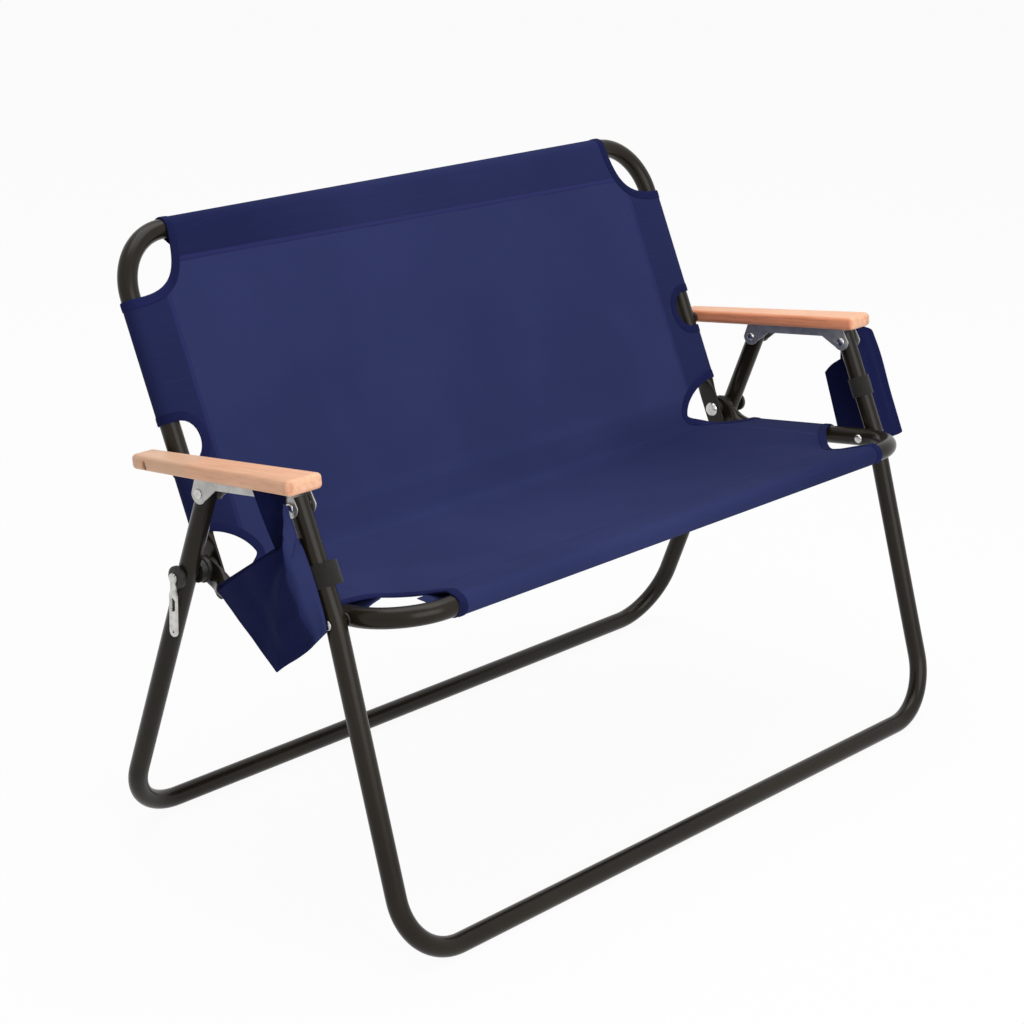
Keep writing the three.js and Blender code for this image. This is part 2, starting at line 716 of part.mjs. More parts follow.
function hingeCap() {
  const bore = HINGE_R + PIN_GAP;
  const blind = capStart + CAP_LENGTH / 2 + SEAM_GAP;
  return atHinge(turned([
    [blind, 0], [blind, bore], [capStart, bore], [capStart, CAP_R],
    [capEnd - 2, CAP_R], [capEnd, CAP_R * 0.75], [capEnd, 0],
  ], ROUND_SIDES));
}

addPair(loveseat, 'hinge_bolt', hingeBolt(), steel);
addPair(loveseat, 'hinge_washer', atHinge(ring(
  backTongueOut + SEAM_GAP, seatTongueIn - SEAM_GAP, HINGE_R + PIN_GAP, WASHER_R,
)), blackPlastic);
addPair(loveseat, 'hinge_bush', hingeBush(), blackPlastic);
addPair(loveseat, 'hinge_cap', hingeCap(), blackPlastic);

// Bottle opener hanging from a stud on the left cap
const openerIn = capEnd + SEAM_GAP;
const openerOut = openerIn + OPENER_THICK;

function openerStud() {
  const end = openerOut + SEAM_GAP;
  return atHinge(turned([
    [capEnd + 0.1, 0], [capEnd + 0.1, OPENER_STUD_R], [end, OPENER_STUD_R], [end, OPENER_STUD_HEAD_R],
    [end + 1.5, OPENER_STUD_HEAD_R * 0.8], [end + 1.5, 0],
  ]));
}

function roundHole(y, z, radius) {
  return new THREE.Path(Array.from({ length: SMALL_SIDES }, (_, step) => {
    const angle = (-2 * Math.PI * step) / SMALL_SIDES;
    return side(y + radius * Math.cos(angle), z + radius * Math.sin(angle));
  }));
}

// Round eye on a waist, a hooked mouth in the body and a small hole in the tail
function bottleOpener() {
  const shape = new THREE.Shape();
  const tail = -OPENER_LENGTH;
  const neck = OPENER_HALF * 0.66;
  const neckTop = -Math.sqrt(OPENER_EYE_R ** 2 - neck ** 2);
  const shoulder = -OPENER_EYE_R * 2.4;
  const eyeEnd = Math.atan2(neckTop, neck);
  shape.moveTo(-neck, neckTop);
  shape.absarc(0, 0, OPENER_EYE_R, Math.PI - eyeEnd, eyeEnd, true);
  shape.lineTo(neck, shoulder);
  shape.lineTo(OPENER_HALF, shoulder - OPENER_HALF);
  shape.lineTo(OPENER_HALF, tail + OPENER_HALF);
  shape.absarc(0, tail + OPENER_HALF, OPENER_HALF, 0, -Math.PI, true);
  shape.lineTo(-OPENER_HALF, shoulder - OPENER_HALF);
  shape.lineTo(-neck, shoulder);
  shape.closePath();
  const eye = roundHole(0, 0, OPENER_STUD_R + PIN_GAP);
  const mouth = new THREE.Path();
  const mouthHalf = OPENER_HALF * 0.6;
  mouth.moveTo(-mouthHalf, shoulder - 12);
  mouth.lineTo(0, shoulder - 9);
  mouth.lineTo(mouthHalf, shoulder - 12);
  mouth.lineTo(mouthHalf, shoulder - 22);
  mouth.absarc(0, shoulder - 22, mouthHalf, 0, -Math.PI, true);
  mouth.closePath();
  const hole = roundHole(0, tail + OPENER_HALF, OPENER_HALF * 0.3);
  shape.holes.push(eye, mouth, hole);
  return atHinge(sideSheet(shape, openerIn, openerOut, 9));
}

add(loveseat, 'opener_stud', mirrored(openerStud()), steel);
add(loveseat, 'bottle_opener', mirrored(bottleOpener()), steel);

// Sling panels: flat canvas on the sitting side of the tubes, with sleeves round the bars
const panelIn = TUBE_R + SEAM_GAP;

// Points of a curve between two outline corners, without its first point
function curve(...points) {
  return new THREE.CubicBezierCurve(...points).getPoints(CURVE_STEPS).slice(1);
}

// Canvas outline from its right half, listed from top to bottom
function canvasShape(right) {
  return new THREE.Shape([...right, ...right.toReversed().map((point) => side(-point.x, point.y))]);
}

// A straight sleeve, outside and inside rods, between two points of a frame's own plane
function sleeveRods(start, end) {
  const axis = end.clone().sub(start);
  const middle = start.clone().add(end).multiplyScalar(0.5);
  const upright = new THREE.Vector3(0, 1, 0);
  const along = new THREE.Quaternion().setFromUnitVectors(upright, axis.clone().normalize());
  const make = (radius, spare) => {
    const solid = new THREE.CylinderGeometry(radius, radius, axis.length() + spare, ROUND_SIDES);
    return solid.applyQuaternion(along).translate(middle.x, middle.y, middle.z);
  };
  return { outer: make(sleeveR, 0), inner: make(panelIn, TUBE_R) };
}

function slingPanel(panel, sleeves) {
  const rods = sleeves.map(([start, end]) => sleeveRods(start, end));
  const whole = join(panel, ...rods.map((sleeve) => sleeve.outer));
  return cut(whole, ...rods.map((sleeve) => sleeve.inner));
}

function bothSides(start, end) {
  return [[start, end], [start, end].map((point) => point.clone().setX(-point.x))];
}

const creaseX = backX - CREASE_INSET;

function slingBack() {
  const topX = backX - TOP_SLEEVE_INSET;
  const topLow = BACK_LENGTH - TOP_NOTCH_DROP;
  const armTop = ARM_LINK + ARM_NOTCH_RISE + ARM_NOTCH_HALF;
  const armLow = armTop - 2 * ARM_NOTCH_HALF;
  const armX = backX - ARM_NOTCH_DEPTH * 4 / 3;
  const shape = canvasShape([
    side(topX, BACK_LENGTH),
    ...curve(
      side(topX, BACK_LENGTH), side(topX, topLow + 0.2 * TOP_NOTCH_DROP),
      side(topX + 0.16 * TOP_SLEEVE_INSET, topLow), side(backX, topLow),
    ),
    side(backX, armTop),
    ...curve(side(backX, armTop), side(armX, armTop), side(armX, armLow), side(backX, armLow)),
    side(backX, HINGE_NOTCH_RISE),
    ...curve(
      side(backX, HINGE_NOTCH_RISE), side(backX - 0.42 * CREASE_INSET, HINGE_NOTCH_RISE),
      side(creaseX + 0.3 * CREASE_INSET, HINGE_NOTCH_RISE), side(creaseX, CREASE_RISE),
    ),
  ]);
  const panel = new THREE.ExtrudeGeometry(shape, { depth: CLOTH, bevelEnabled: false });
  panel.rotateX(Math.PI / 2);
  panel.translate(0, -panelIn, 0);
  const at = (x, rise) => new THREE.Vector3(x, 0, rise);
  return slingPanel(panel, [
    [at(-topX, BACK_LENGTH), at(topX, BACK_LENGTH)],
    ...bothSides(at(backX, armTop), at(backX, topLow)),
    ...bothSides(at(backX, HINGE_NOTCH_RISE), at(backX, armLow)),
  ]);
}

function slingSeat() {
  const frontX = seatX - FRONT_SLEEVE_INSET;
  const rear = hingeInSeat.x - CREASE_RUN;
  const sleeveRear = hingeInSeat.x - HINGE_NOTCH_RUN;
  const shape = canvasShape([
    side(frontX, -SEAT_OVERHANG),
    ...curve(
      side(frontX, -SEAT_OVERHANG), side(frontX - 0.5 * FRONT_SLEEVE_INSET, -0.5 * SEAT_OVERHANG),
      side(frontX, FRONT_NOTCH_BACK), side(seatX, FRONT_NOTCH_BACK),
    ),
    side(seatX, sleeveRear),
    ...curve(
      side(seatX, sleeveRear), side(seatX - 0.5 * CREASE_INSET, sleeveRear),
      side(creaseX + 0.6 * CREASE_INSET, rear), side(creaseX, rear),
    ),
  ]);
  const panel = new THREE.ExtrudeGeometry(shape, { depth: CLOTH, bevelEnabled: false });
  panel.translate(0, 0, panelIn);
  const at = (x, back) => new THREE.Vector3(x, back, 0);
  return slingPanel(panel, [
    [at(-frontX, -SEAT_OVERHANG), at(frontX, -SEAT_OVERHANG)],
    ...bothSides(at(seatX, FRONT_NOTCH_BACK), at(seatX, sleeveRear)),
  ]);
}

// The crease bends the canvas from the seat panel up into the back panel
function slingCrease() {
  const seatUp = side(Math.sin(SEAT_TILT), Math.cos(SEAT_TILT));
  const backFront = side(-upBack.y, upBack.x);
  const middle = panelIn + CLOTH / 2;
  const low = KNEE.clone().addScaledVector(seatUp, middle)
    .addScaledVector(seatRear, hingeInSeat.x - CREASE_RUN + SEAM_GAP);
  const high = HINGE.clone().addScaledVector(backFront, middle)
    .addScaledVector(upBack, CREASE_RISE - SEAM_GAP);
  const gap = high.clone().sub(low);
  const reach = gap.cross(upBack) / seatRear.cross(upBack);
  const corner = low.clone().addScaledVector(seatRear, reach);
  const bend = new THREE.QuadraticBezierCurve(low, corner, high);
  const rows = Array.from({ length: CURVE_STEPS + 1 }, (_, step) => step / CURVE_STEPS);
  const offset = (share, amount) => {
    const tangent = bend.getTangent(share);
    return bend.getPoint(share).add(side(-tangent.y, tangent.x).multiplyScalar(amount));
  };
  const rings = rows.map((share) => [[-1, -1], [1, -1], [1, 1], [-1, 1]].map(
    ([across, face]) => place(across * creaseX, offset(share, (face * CLOTH) / 2)),
  ));
  return skin(rings);
}

add(backGroup, 'sling_back', slingBack(), canvas);
add(seatGroup, 'sling_seat', slingSeat(), canvas);
add(loveseat, 'sling_crease', slingCrease(), canvas);

// Pockets: a flat panel towards the leg and a bulging panel outside, open along the mouth line
const pocketIn = legOut + POCKET_GAP;

// Four corners in the side view, from the foot's front corner by the lengths and slopes of the edges
function pocketCorners(ahead, below, foot, footDip, front, frontLean, mouth, mouthDip) {
  const along = (point, length, angle) => {
    const step = side(Math.cos(angle), Math.sin(angle));
    return point.clone().addScaledVector(step, length);
  };
  const footFront = side(KNEE.x - ahead, KNEE.y - below);
  const mouthFront = along(footFront, front, frontLean);
  const footRear = along(footFront, foot, -footDip);
  const mouthRear = along(mouthFront, mouth, -mouthDip);
  return { footFront, mouthFront, footRear, mouthRear };
}

const POCKET_LEFT = pocketCorners(
  LEFT_POCKET_AHEAD, LEFT_POCKET_BELOW, LEFT_POCKET_FOOT, LEFT_POCKET_FOOT_DIP,
  LEFT_POCKET_FRONT, LEFT_POCKET_FRONT_LEAN, LEFT_POCKET_MOUTH, LEFT_POCKET_MOUTH_DIP,
);
const POCKET_RIGHT = pocketCorners(
  RIGHT_POCKET_AHEAD, RIGHT_POCKET_BELOW, RIGHT_POCKET_FOOT, RIGHT_POCKET_FOOT_DIP,
  RIGHT_POCKET_FRONT, RIGHT_POCKET_FRONT_LEAN, RIGHT_POCKET_MOUTH, RIGHT_POCKET_MOUTH_DIP,
);

function pocketShell(corners) {
  const ringAt = (share, wall) => {
    const rear = corners.footRear.clone().lerp(corners.mouthRear, share);
    const front = corners.footFront.clone().lerp(corners.mouthFront, share);
    const along = front.clone().sub(rear).normalize();
    rear.addScaledVector(along, 1.5 * wall);
    front.addScaledVector(along, -1.5 * wall);
    const opened = Math.sin((share * Math.PI) / 2);
    const depth = THREE.MathUtils.lerp(POCKET_FOOT_DEPTH, POCKET_DEPTH, opened) - 2 * wall;
    const bulge = Array.from({ length: POCKET_STEPS + 1 }, (_, step) => {
      const angle = (Math.PI * step) / POCKET_STEPS;
      const spot = rear.clone().lerp(front, (1 - Math.cos(angle)) / 2);
      return place(pocketIn + wall + depth * Math.sin(angle) ** 0.8, spot);
    });
    const flat = [0.75, 0.5, 0.25].map((part) => place(pocketIn + wall, rear.clone().lerp(front, part)));
    return [...bulge, ...flat];
  };
  const rows = [0, 0.2, 0.4, 0.6, 0.8, 1];
  const floor = (2 * POCKET_WALL) / corners.footRear.distanceTo(corners.mouthRear);
  const inside = rows.toReversed().map((share) => ringAt(Math.max(share, floor), POCKET_WALL));
  return skin([...rows.map((share) => ringAt(share, 0)), ...inside]);
}

// A flap runs from the pocket's mouth up under the armrest board
function pocketFlap(corners, reach) {
  const armUp = side(-alongArm.y, alongArm.x);
  const underBoard = (u) => frontPivot.clone().addScaledVector(alongArm, u)
    .addScaledVector(armUp, boardBottom - SEAM_GAP);
  const mouth = corners.mouthFront.clone().sub(corners.mouthRear);
  const up = side(mouth.y, -mouth.x).normalize().multiplyScalar(SEAM_GAP);
  const onMouth = (share) => corners.mouthRear.clone().addScaledVector(mouth, share).add(up);
  const shape = new THREE.Shape([
    onMouth(0.98), onMouth(FLAP_FOOT), underBoard(reach), underBoard(-FLAP_FRONT),
  ]);
  const flap = sideSheet(shape, pocketIn, pocketIn + FLAP_THICK);
  return flap.translate(0, -centreY, 0);
}

// Strap round the front leg, level with the pocket
function legStrap() {
  const strap = ring(-STRAP_LENGTH / 2, STRAP_LENGTH / 2, TUBE_R + SEAM_GAP, TUBE_R + SEAM_GAP + STRAP_THICK);
  strap.applyQuaternion(new THREE.Quaternion().setFromUnitVectors(
    new THREE.Vector3(1, 0, 0), new THREE.Vector3(0, upBack.x, upBack.y),
  ));
  const spot = place(legX, KNEE.clone().addScaledVector(upBack, STRAP_RISE));
  return strap.translate(spot.x, spot.y, spot.z);
}

add(loveseat, 'pocket_right', pocketShell(POCKET_RIGHT), canvas);
add(loveseat, 'pocket_left', mirrored(pocketShell(POCKET_LEFT)), canvas);
add(loveseat, 'pocket_flap_right', pocketFlap(POCKET_RIGHT, RIGHT_FLAP_REAR), canvasDark);
add(loveseat, 'pocket_flap_left', mirrored(pocketFlap(POCKET_LEFT, LEFT_FLAP_REAR)), canvasDark);
addPair(loveseat, 'leg_strap', legStrap(), webbing);

export default loveseat;
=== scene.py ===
import math

import bmesh
import bpy
from mathutils import Matrix, Vector
from mathutils.geometry import interpolate_bezier


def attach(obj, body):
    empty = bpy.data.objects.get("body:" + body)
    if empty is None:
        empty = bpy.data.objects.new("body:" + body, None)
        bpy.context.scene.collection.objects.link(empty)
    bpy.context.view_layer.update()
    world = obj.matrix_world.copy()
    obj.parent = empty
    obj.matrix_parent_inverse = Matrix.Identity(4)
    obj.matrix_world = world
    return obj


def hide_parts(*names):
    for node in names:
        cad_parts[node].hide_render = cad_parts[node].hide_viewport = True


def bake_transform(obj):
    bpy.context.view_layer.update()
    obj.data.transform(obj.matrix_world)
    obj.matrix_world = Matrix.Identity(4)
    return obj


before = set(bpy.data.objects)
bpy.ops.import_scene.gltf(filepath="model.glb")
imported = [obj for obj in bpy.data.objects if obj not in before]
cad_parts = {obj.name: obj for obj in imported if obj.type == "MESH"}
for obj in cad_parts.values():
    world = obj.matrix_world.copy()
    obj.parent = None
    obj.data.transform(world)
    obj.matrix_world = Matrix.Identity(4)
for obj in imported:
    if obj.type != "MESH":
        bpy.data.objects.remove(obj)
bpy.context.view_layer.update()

SIDES = {"left": -1, "right": 1}
WHITE = (1, 1, 1, 1)

# Sizes in millimetres, as in the part's source: y runs back from the front ground bar, z up from the floor
TUBE_R = 12.0
TUBE_SIDES = 32
BEND_STEP = 0.07
FOOT_Z = 11.6
LEG_X = 502.0
SEAT_X = 475.0
BACK_X = 463.0
FOOT_BEND = 78.0
BACK_BEND = 74.0
SEAT_BEND = 70.0
KNEE_BEND = 120.0
CRANK_BEND = 50.0
CRANK_REACH = 44.0
RECLINE = math.radians(26.3)
SEAT_TILT = math.radians(9.5)
KNEE = Vector((125.5, 383.0))
HINGE = Vector((376.0, 366.5))
REAR_FOOT = 498.5
ARM_LINK = 133.0
BACK_LENGTH = 397.0
SEAT_OVERHANG = 73.0
LEG_TOP = 9.0
NOTCH_WEDGE = 20.0
NOTCH_R = 3.55
DRILL_LENGTH = 40.0
SOLID_SLEEVE_R = 13.8

# Pressed tube ends: width, flat length and inset, and how far each runs past its pivot
BACK_TONGUE = (28.0, 62.0, 1.8)
BACK_TONGUE_TAIL = 40.0
SEAT_TONGUE = (32.0, 30.0, 1.5)
SEAT_TONGUE_TAIL = 14.0
TONGUE_HALF = 2.5
TONGUE_TIP = ((0, 0.42), (0.12, 0.66), (0.4, 0.88), (1, 1))

# Armrest boards
ARM_INNER = BACK_X + TUBE_R + 4.7
ARM_REAR_WIDE = 34.0
ARM_FRONT_WIDE = 50.0
ARM_FRONT_SHIFT = 4.0
ARM_NOSE = 23.0
ARM_TAIL = 26.0
ARM_RISE = 17.0
ARM_THICK = 18.0
ARM_BOLT_RISE = 24.1
BOLT_SINK = 6.0
BOLT_RECESS_R = 5.35
ARM_CORNER = 5.5
ARM_FRONT_CORNER = {"left": 5.5, "right": 14.0}
ARM_EDGE = 2.0

UP_BACK = Vector((math.sin(RECLINE), math.cos(RECLINE)))
BACK_FRONT = Vector((-UP_BACK.y, UP_BACK.x))
SEAT_REAR = Vector((math.cos(SEAT_TILT), -math.sin(SEAT_TILT)))
SEAT_UP = Vector((-SEAT_REAR.y, SEAT_REAR.x))
BACK_TOP = HINGE + UP_BACK * BACK_LENGTH
MIDDLE_Y = (BACK_TOP.x + SOLID_SLEEVE_R - TUBE_R) / 2
ALONG_REAR = (HINGE - Vector((REAR_FOOT, FOOT_Z))).normalized()
FRONT_PIVOT = KNEE + UP_BACK * ARM_LINK
ARM_PIVOT = HINGE + UP_BACK * ARM_LINK
ARM_REACH = ARM_PIVOT - FRONT_PIVOT
ARM_TILT = math.atan2(ARM_REACH.y, ARM_REACH.x) - math.asin(ARM_BOLT_RISE / ARM_REACH.length)
ALONG_ARM = Vector((math.cos(ARM_TILT), math.sin(ARM_TILT)))
ARM_UP = Vector((-ALONG_ARM.y, ALONG_ARM.x))


def place(x, point):
    """A side-view point at a distance from the middle plane, in metres."""
    return Vector((x, point[0] - MIDDLE_Y, point[1])) / 1000


def cross2(a, b):
    return a.x * b.y - a.y * b.x


def clamp(share):
    return min(1.0, max(0.0, share))


def ease(share):
    share = clamp(share)
    return share * share * (3 - 2 * share)


def bump_over(x, low, high):
    """0 at both ends and 1 in the middle."""
    return math.sin(math.pi * clamp((x - low) / (high - low)))


def bell(x, middle, spread):
    """1 in the middle, falling off on both sides."""
    return math.exp(-((x - middle) / spread) ** 2)


BRACKET_SPAN = cross2(HINGE - FRONT_PIVOT, ALONG_REAR) / cross2(ALONG_ARM, ALONG_REAR)
REAR_PIVOT = FRONT_PIVOT + ALONG_ARM * BRACKET_SPAN

# Camera at the photograph's viewing angle, in degrees, metres and picture points
VIEW_ANGLES = (-47.385, 19.884, 1.957)
VIEW_SPOT = (-2.1285, -1.6239, 1.3783)
VIEW_FOCUS = 2386.406
PICTURE = 1024
SENSOR = 36


def aim_camera():
    azimuth, elevation, roll = (math.radians(angle) for angle in VIEW_ANGLES)
    flat = math.cos(elevation)
    back = Vector((math.sin(azimuth) * flat, -math.cos(azimuth) * flat, math.sin(elevation)))
    level = Vector((math.cos(azimuth), math.sin(azimuth), 0))
    lifted = back.cross(level)
    right = level * math.cos(roll) + lifted * math.sin(roll)
    up = lifted * math.cos(roll) - level * math.sin(roll)
    camera = bpy.data.objects.new("camera", bpy.data.cameras.new("camera"))
    bpy.context.collection.objects.link(camera)
    camera.matrix_world = Matrix((
        (right.x, up.x, back.x, VIEW_SPOT[0]),
        (right.y, up.y, back.y, VIEW_SPOT[1] - MIDDLE_Y / 1000),
        (right.z, up.z, back.z, VIEW_SPOT[2]),
        (0, 0, 0, 1),
    ))
    camera.data.sensor_width = SENSOR
    camera.data.lens = VIEW_FOCUS / PICTURE * SENSOR
    camera.data.clip_end = 60
    bpy.context.scene.camera = camera


aim_camera()


# Shader values: an expression on them adds Math nodes to the tree they belong to
def operator(operation, swapped=False):
    def joined(self, other):
        first, second = (other, self) if swapped else (self, other)
        return self.maths(operation, first, second)
    return joined


class Value:
    def __init__(self, nodes, socket):
        self.nodes = nodes
        self.socket = socket

    def maths(self, operation, *terms):
        return self.nodes.node("ShaderNodeMath", {"operation": operation}, dict(enumerate(terms)))

    __add__ = __radd__ = operator("ADD")
    __sub__ = operator("SUBTRACT")
    __rsub__ = operator("SUBTRACT", swapped=True)
    __mul__ = __rmul__ = operator("MULTIPLY")
    __gt__ = operator("GREATER_THAN")
    __lt__ = operator("LESS_THAN")

    def __abs__(self):
        return self.maths("ABSOLUTE", self)

    def sine(self):
        return self.maths("SINE", self)

    def rise(self, low, high):
        """0 below low, 1 above high, smooth between."""
        inputs = {"Value": self, "From Min": low, "From Max": high}
        return self.nodes.node("ShaderNodeMapRange", {"interpolation_type": "SMOOTHSTEP"}, inputs)


class Nodes:
    """A node tree, of a material or of the world."""

    def __init__(self, tree):
        self.tree = tree

    def node(self, kind, settings=None, inputs=None, output=0):
        made = self.tree.nodes.new(kind)
        for key, value in (settings or {}).items():
            setattr(made, key, value)
        for key, value in (inputs or {}).items():
            if isinstance(value, Value):
                self.tree.links.new(value.socket, made.inputs[key])
            else:
                made.inputs[key].default_value = value
        return Value(self, made.outputs[output])

    def outputs(self, value, names):
        return [Value(self, value.socket.node.outputs[name]) for name in names]

    def seen_rays(self):
        """1 for camera, glossy and transmission rays, which see a white background."""
        path = self.node("ShaderNodeLightPath")
        camera, glossy, clear = self.outputs(path, ("Is Camera Ray", "Is Glossy Ray", "Is Transmission Ray"))
        return camera.maths("MAXIMUM", camera.maths("MAXIMUM", camera, glossy), clear)

    def show(self, output, share, first, second):
        """Mixes two shaders and links the result to the tree's output."""
        mixed = self.node("ShaderNodeMixShader", None, {0: share, 1: first, 2: second})
        self.tree.links.new(mixed.socket, self.tree.nodes[output].inputs["Surface"])


class Finish(Nodes):
    """One material: its shader's own sockets are set here, and what varies is linked by paint()."""

    def __init__(self, name, **sockets):
        self.material = bpy.data.materials.new(name)
        self.material.use_nodes = True
        super().__init__(self.material.node_tree)
        self.shader = self.tree.nodes["Principled BSDF"]
        for socket, value in sockets.items():
            self.shader.inputs[socket.replace("_", " ")].default_value = value

    def paint(self, **sockets):
        for socket, value in sockets.items():
            self.tree.links.new(value.socket, self.shader.inputs[socket.replace("_", " ")])
        return self.material

    def place(self, scale=(1, 1, 1), turn=(0, 0, 0)):
        """Object coordinates, turned first and then stretched."""
        spot = self.node("ShaderNodeTexCoord", output="Object")
        turned = self.node("ShaderNodeMapping", None, {"Vector": spot, "Rotation": turn})
        return self.node("ShaderNodeVectorMath", {"operation": "MULTIPLY"}, {0: turned, 1: scale})

    def noise(self, vector, scale, detail=2.0, rough=0.5):
        inputs = {"Vector": vector, "Scale": scale, "Detail": detail, "Roughness": rough}
        return self.node("ShaderNodeTexNoise", None, inputs)

    def split(self, vector):
        return self.outputs(self.node("ShaderNodeSeparateXYZ", None, {"Vector": vector}), "XYZ")

    def mix(self, share, first, second):
        return self.node("ShaderNodeMix", {"data_type": "RGBA"}, {0: share, 6: first, 7: second}, output=2)

    def bump(self, height, depth_mm, strength):
        inputs = {"Height": height, "Distance": depth_mm / 1000, "Strength": strength}
        return self.node("ShaderNodeBump", None, inputs)


def srgb(red, green, blue):
    """A screen colour as the linear values that a shader takes."""
    def linear(value):
        share = value / 255
        return share / 12.92 if share <= 0.04045 else ((share + 0.055) / 1.055) ** 2.4
    return (linear(red), linear(green), linear(blue), 1.0)


def waves(value, pitch):
    """Ribs or threads of a pitch, as a height from -1 to 1."""
    return (value * (2 * math.pi / pitch)).sine()


def grained(
    name, colors, cloud, grain, rough, depth, stretch=(1, 1, 1), turn=(0, 0, 0), top=0.7, speck=0, **sockets,
):
    """Clouds in the colour and the sheen under a fine grain, stretched on drawn or brushed metal."""
    made = Finish(name, **sockets)
    clouds = made.noise(made.place(), *cloud)
    fine = made.noise(made.place(stretch, turn), *grain)
    color = made.mix(clouds.rise(0.3, top), srgb(*colors[0]), srgb(*colors[1]))
    sheen = rough[0] + clouds * rough[1]
    if speck:
        sheen = sheen + fine * speck
    return made.paint(Base_Color=color, Roughness=sheen, Normal=made.bump(fine, *depth))


def navy_canvas():
    cloth = Finish("navy_canvas", Specular_IOR_Level=0.08)
    across, along, _ = cloth.split(cloth.node("ShaderNodeUVMap", {"uv_map": "pattern"}))
    across = across * 1000
    along = along * 1000
    warp = waves(across, 1.1)
    weft = waves(along, 1.1)
    threads = warp * weft * 0.25 + (abs(warp) + abs(weft)) * 0.25
    shade = cloth.node("ShaderNodeAttribute", {"attribute_name": "hem_and_painted_shade"}, output="Fac")
    seam = cloth.node("ShaderNodeAttribute", {"attribute_name": "seam_mm"}, output="Fac")
    cloud = cloth.noise(cloth.place(), 5, 3)
    slub = cloth.noise(cloth.place((6, 300, 300)), 2.2, 2)
    color = cloth.mix(cloud.rise(0.3, 0.72), srgb(44, 51, 93), srgb(49, 56, 100))
    # Darker where the cloth carries hems and painted shade
    color = cloth.mix(shade, color, srgb(20, 25, 66))
    color = cloth.mix(slub.rise(0.5, 0.85) * 0.2, color, srgb(58, 66, 112))
    felled = seam.rise(-0.4, 0.6) * seam.rise(6.8, 5.8)
    color = cloth.mix(felled * 0.5, color, srgb(50, 52, 104))
    row = abs(abs(seam - 3.2) - 2.7)
    stitch = row.rise(0.9, 0.2) * waves(across + along, 3.2).rise(-0.5, 0.1)
    color = cloth.mix(stitch * 0.6, color, srgb(22, 25, 62))
    height = threads * 0.5 + slub * 0.3 + felled * 0.8 - row.rise(1.6, 0.2) * 0.9 + stitch * 0.4
    return cloth.paint(Base_Color=color, Roughness=0.82 + slub * 0.1, Normal=cloth.bump(height, 0.22, 0.7))


def binding_tape():
    tape = Finish("navy_binding_tape", Specular_IOR_Level=0.08)
    spot = tape.place()
    cloud = tape.noise(spot, 14, 2)
    x, y, z = tape.split(spot)
    rib = waves((x + y * 0.8 + z * 0.9) * 1000, 1.3)
    color = tape.mix(cloud.rise(0.3, 0.7), srgb(22, 27, 66), srgb(30, 35, 80))
    return tape.paint(Base_Color=color, Roughness=0.8 + cloud * 0.12, Normal=tape.bump(rib, 0.12, 0.6))


# Places on the armrest boards, in metres: the left one's joint, and the line of the right one's inner side
BOARD_JOINT = (0.0766, 0.0774)
BOARD_SIDE = 0.4821
BOARD_TAPER = 0.0135


def beech():
    """Wood along the boards, jointed near the left tail, redder with darker red streaks along the right
    board's inner side.
    """
    wood = Finish("oiled_beech", Coat_Roughness=0.35, Specular_IOR_Level=0.35)
    turn = (-ARM_TILT, 0, 0)
    flow = wood.noise(wood.place((1, 1, 1), turn), 7, 3)
    x, y, z = wood.split(wood.place())
    rings = ((x * 190 + z * 60 + flow * 5) * 3.4).sine()
    fibre = wood.noise(wood.place((26, 1.6, 26), turn), 9, 5, 0.65)
    fleck = wood.noise(wood.place((420, 26, 420), turn), 2.2, 2).rise(0.63, 0.75)
    board = wood.noise(wood.place((3, 5, 3), turn), 1.6, 1)
    color = wood.mix(rings.rise(-0.9, 1.0) * 0.3, srgb(252, 198, 164), srgb(242, 182, 144))
    color = wood.mix(fibre.rise(0.4, 0.68) * 0.45, color, srgb(220, 162, 122))
    color = wood.mix(board.rise(0.35, 0.7) * 0.35, color, srgb(240, 172, 134))
    joint = y.rise(*BOARD_JOINT) * (x < 0)
    color = wood.mix(joint * 0.6, color, srgb(232, 192, 160))
    # Redder, with darker red streaks, along the right board's inner side
    inner_side_red = (x - (BOARD_SIDE - y * BOARD_TAPER)).rise(0.004, 0.0005) * (x > 0)
    color = wood.mix(inner_side_red * 0.85, color, srgb(255, 160, 116))
    color = wood.mix(inner_side_red * fibre.rise(0.45, 0.62) * 0.35, color, srgb(206, 110, 76))
    color = wood.mix(fleck * 0.35, color, srgb(170, 116, 84))
    bump = wood.bump(fibre * 0.6 - fleck, 0.12, 0.45)
    return wood.paint(Base_Color=color, Roughness=0.42 + fibre * 0.16, Normal=bump)


def black_webbing():
    web = Finish("black_webbing", Sheen_Weight=0.15, Specular_IOR_Level=0.25)
    spot = web.place()
    _, y, z = web.split(spot)
    rib = waves((z * UP_BACK.y + y * UP_BACK.x) * 1000, 1.6)
    cloud = web.noise(spot, 160, 3)
    color = web.mix(rib.rise(-0.6, 0.8), srgb(27, 26, 23), srgb(38, 36, 32))
    return web.paint(Base_Color=color, Roughness=0.72 + cloud * 0.15, Normal=web.bump(rib + cloud, 0.18, 0.6))


COAT = grained(
    "tube_powder_coat", ((30, 25, 18), (38, 33, 25)), (9, 3), (1400, 2), (0.2, 0.06), (0.04, 0.5),
    top=0.75, speck=0.04, Specular_IOR_Level=0.19,
)
CANVAS = navy_canvas()
BINDING = binding_tape()
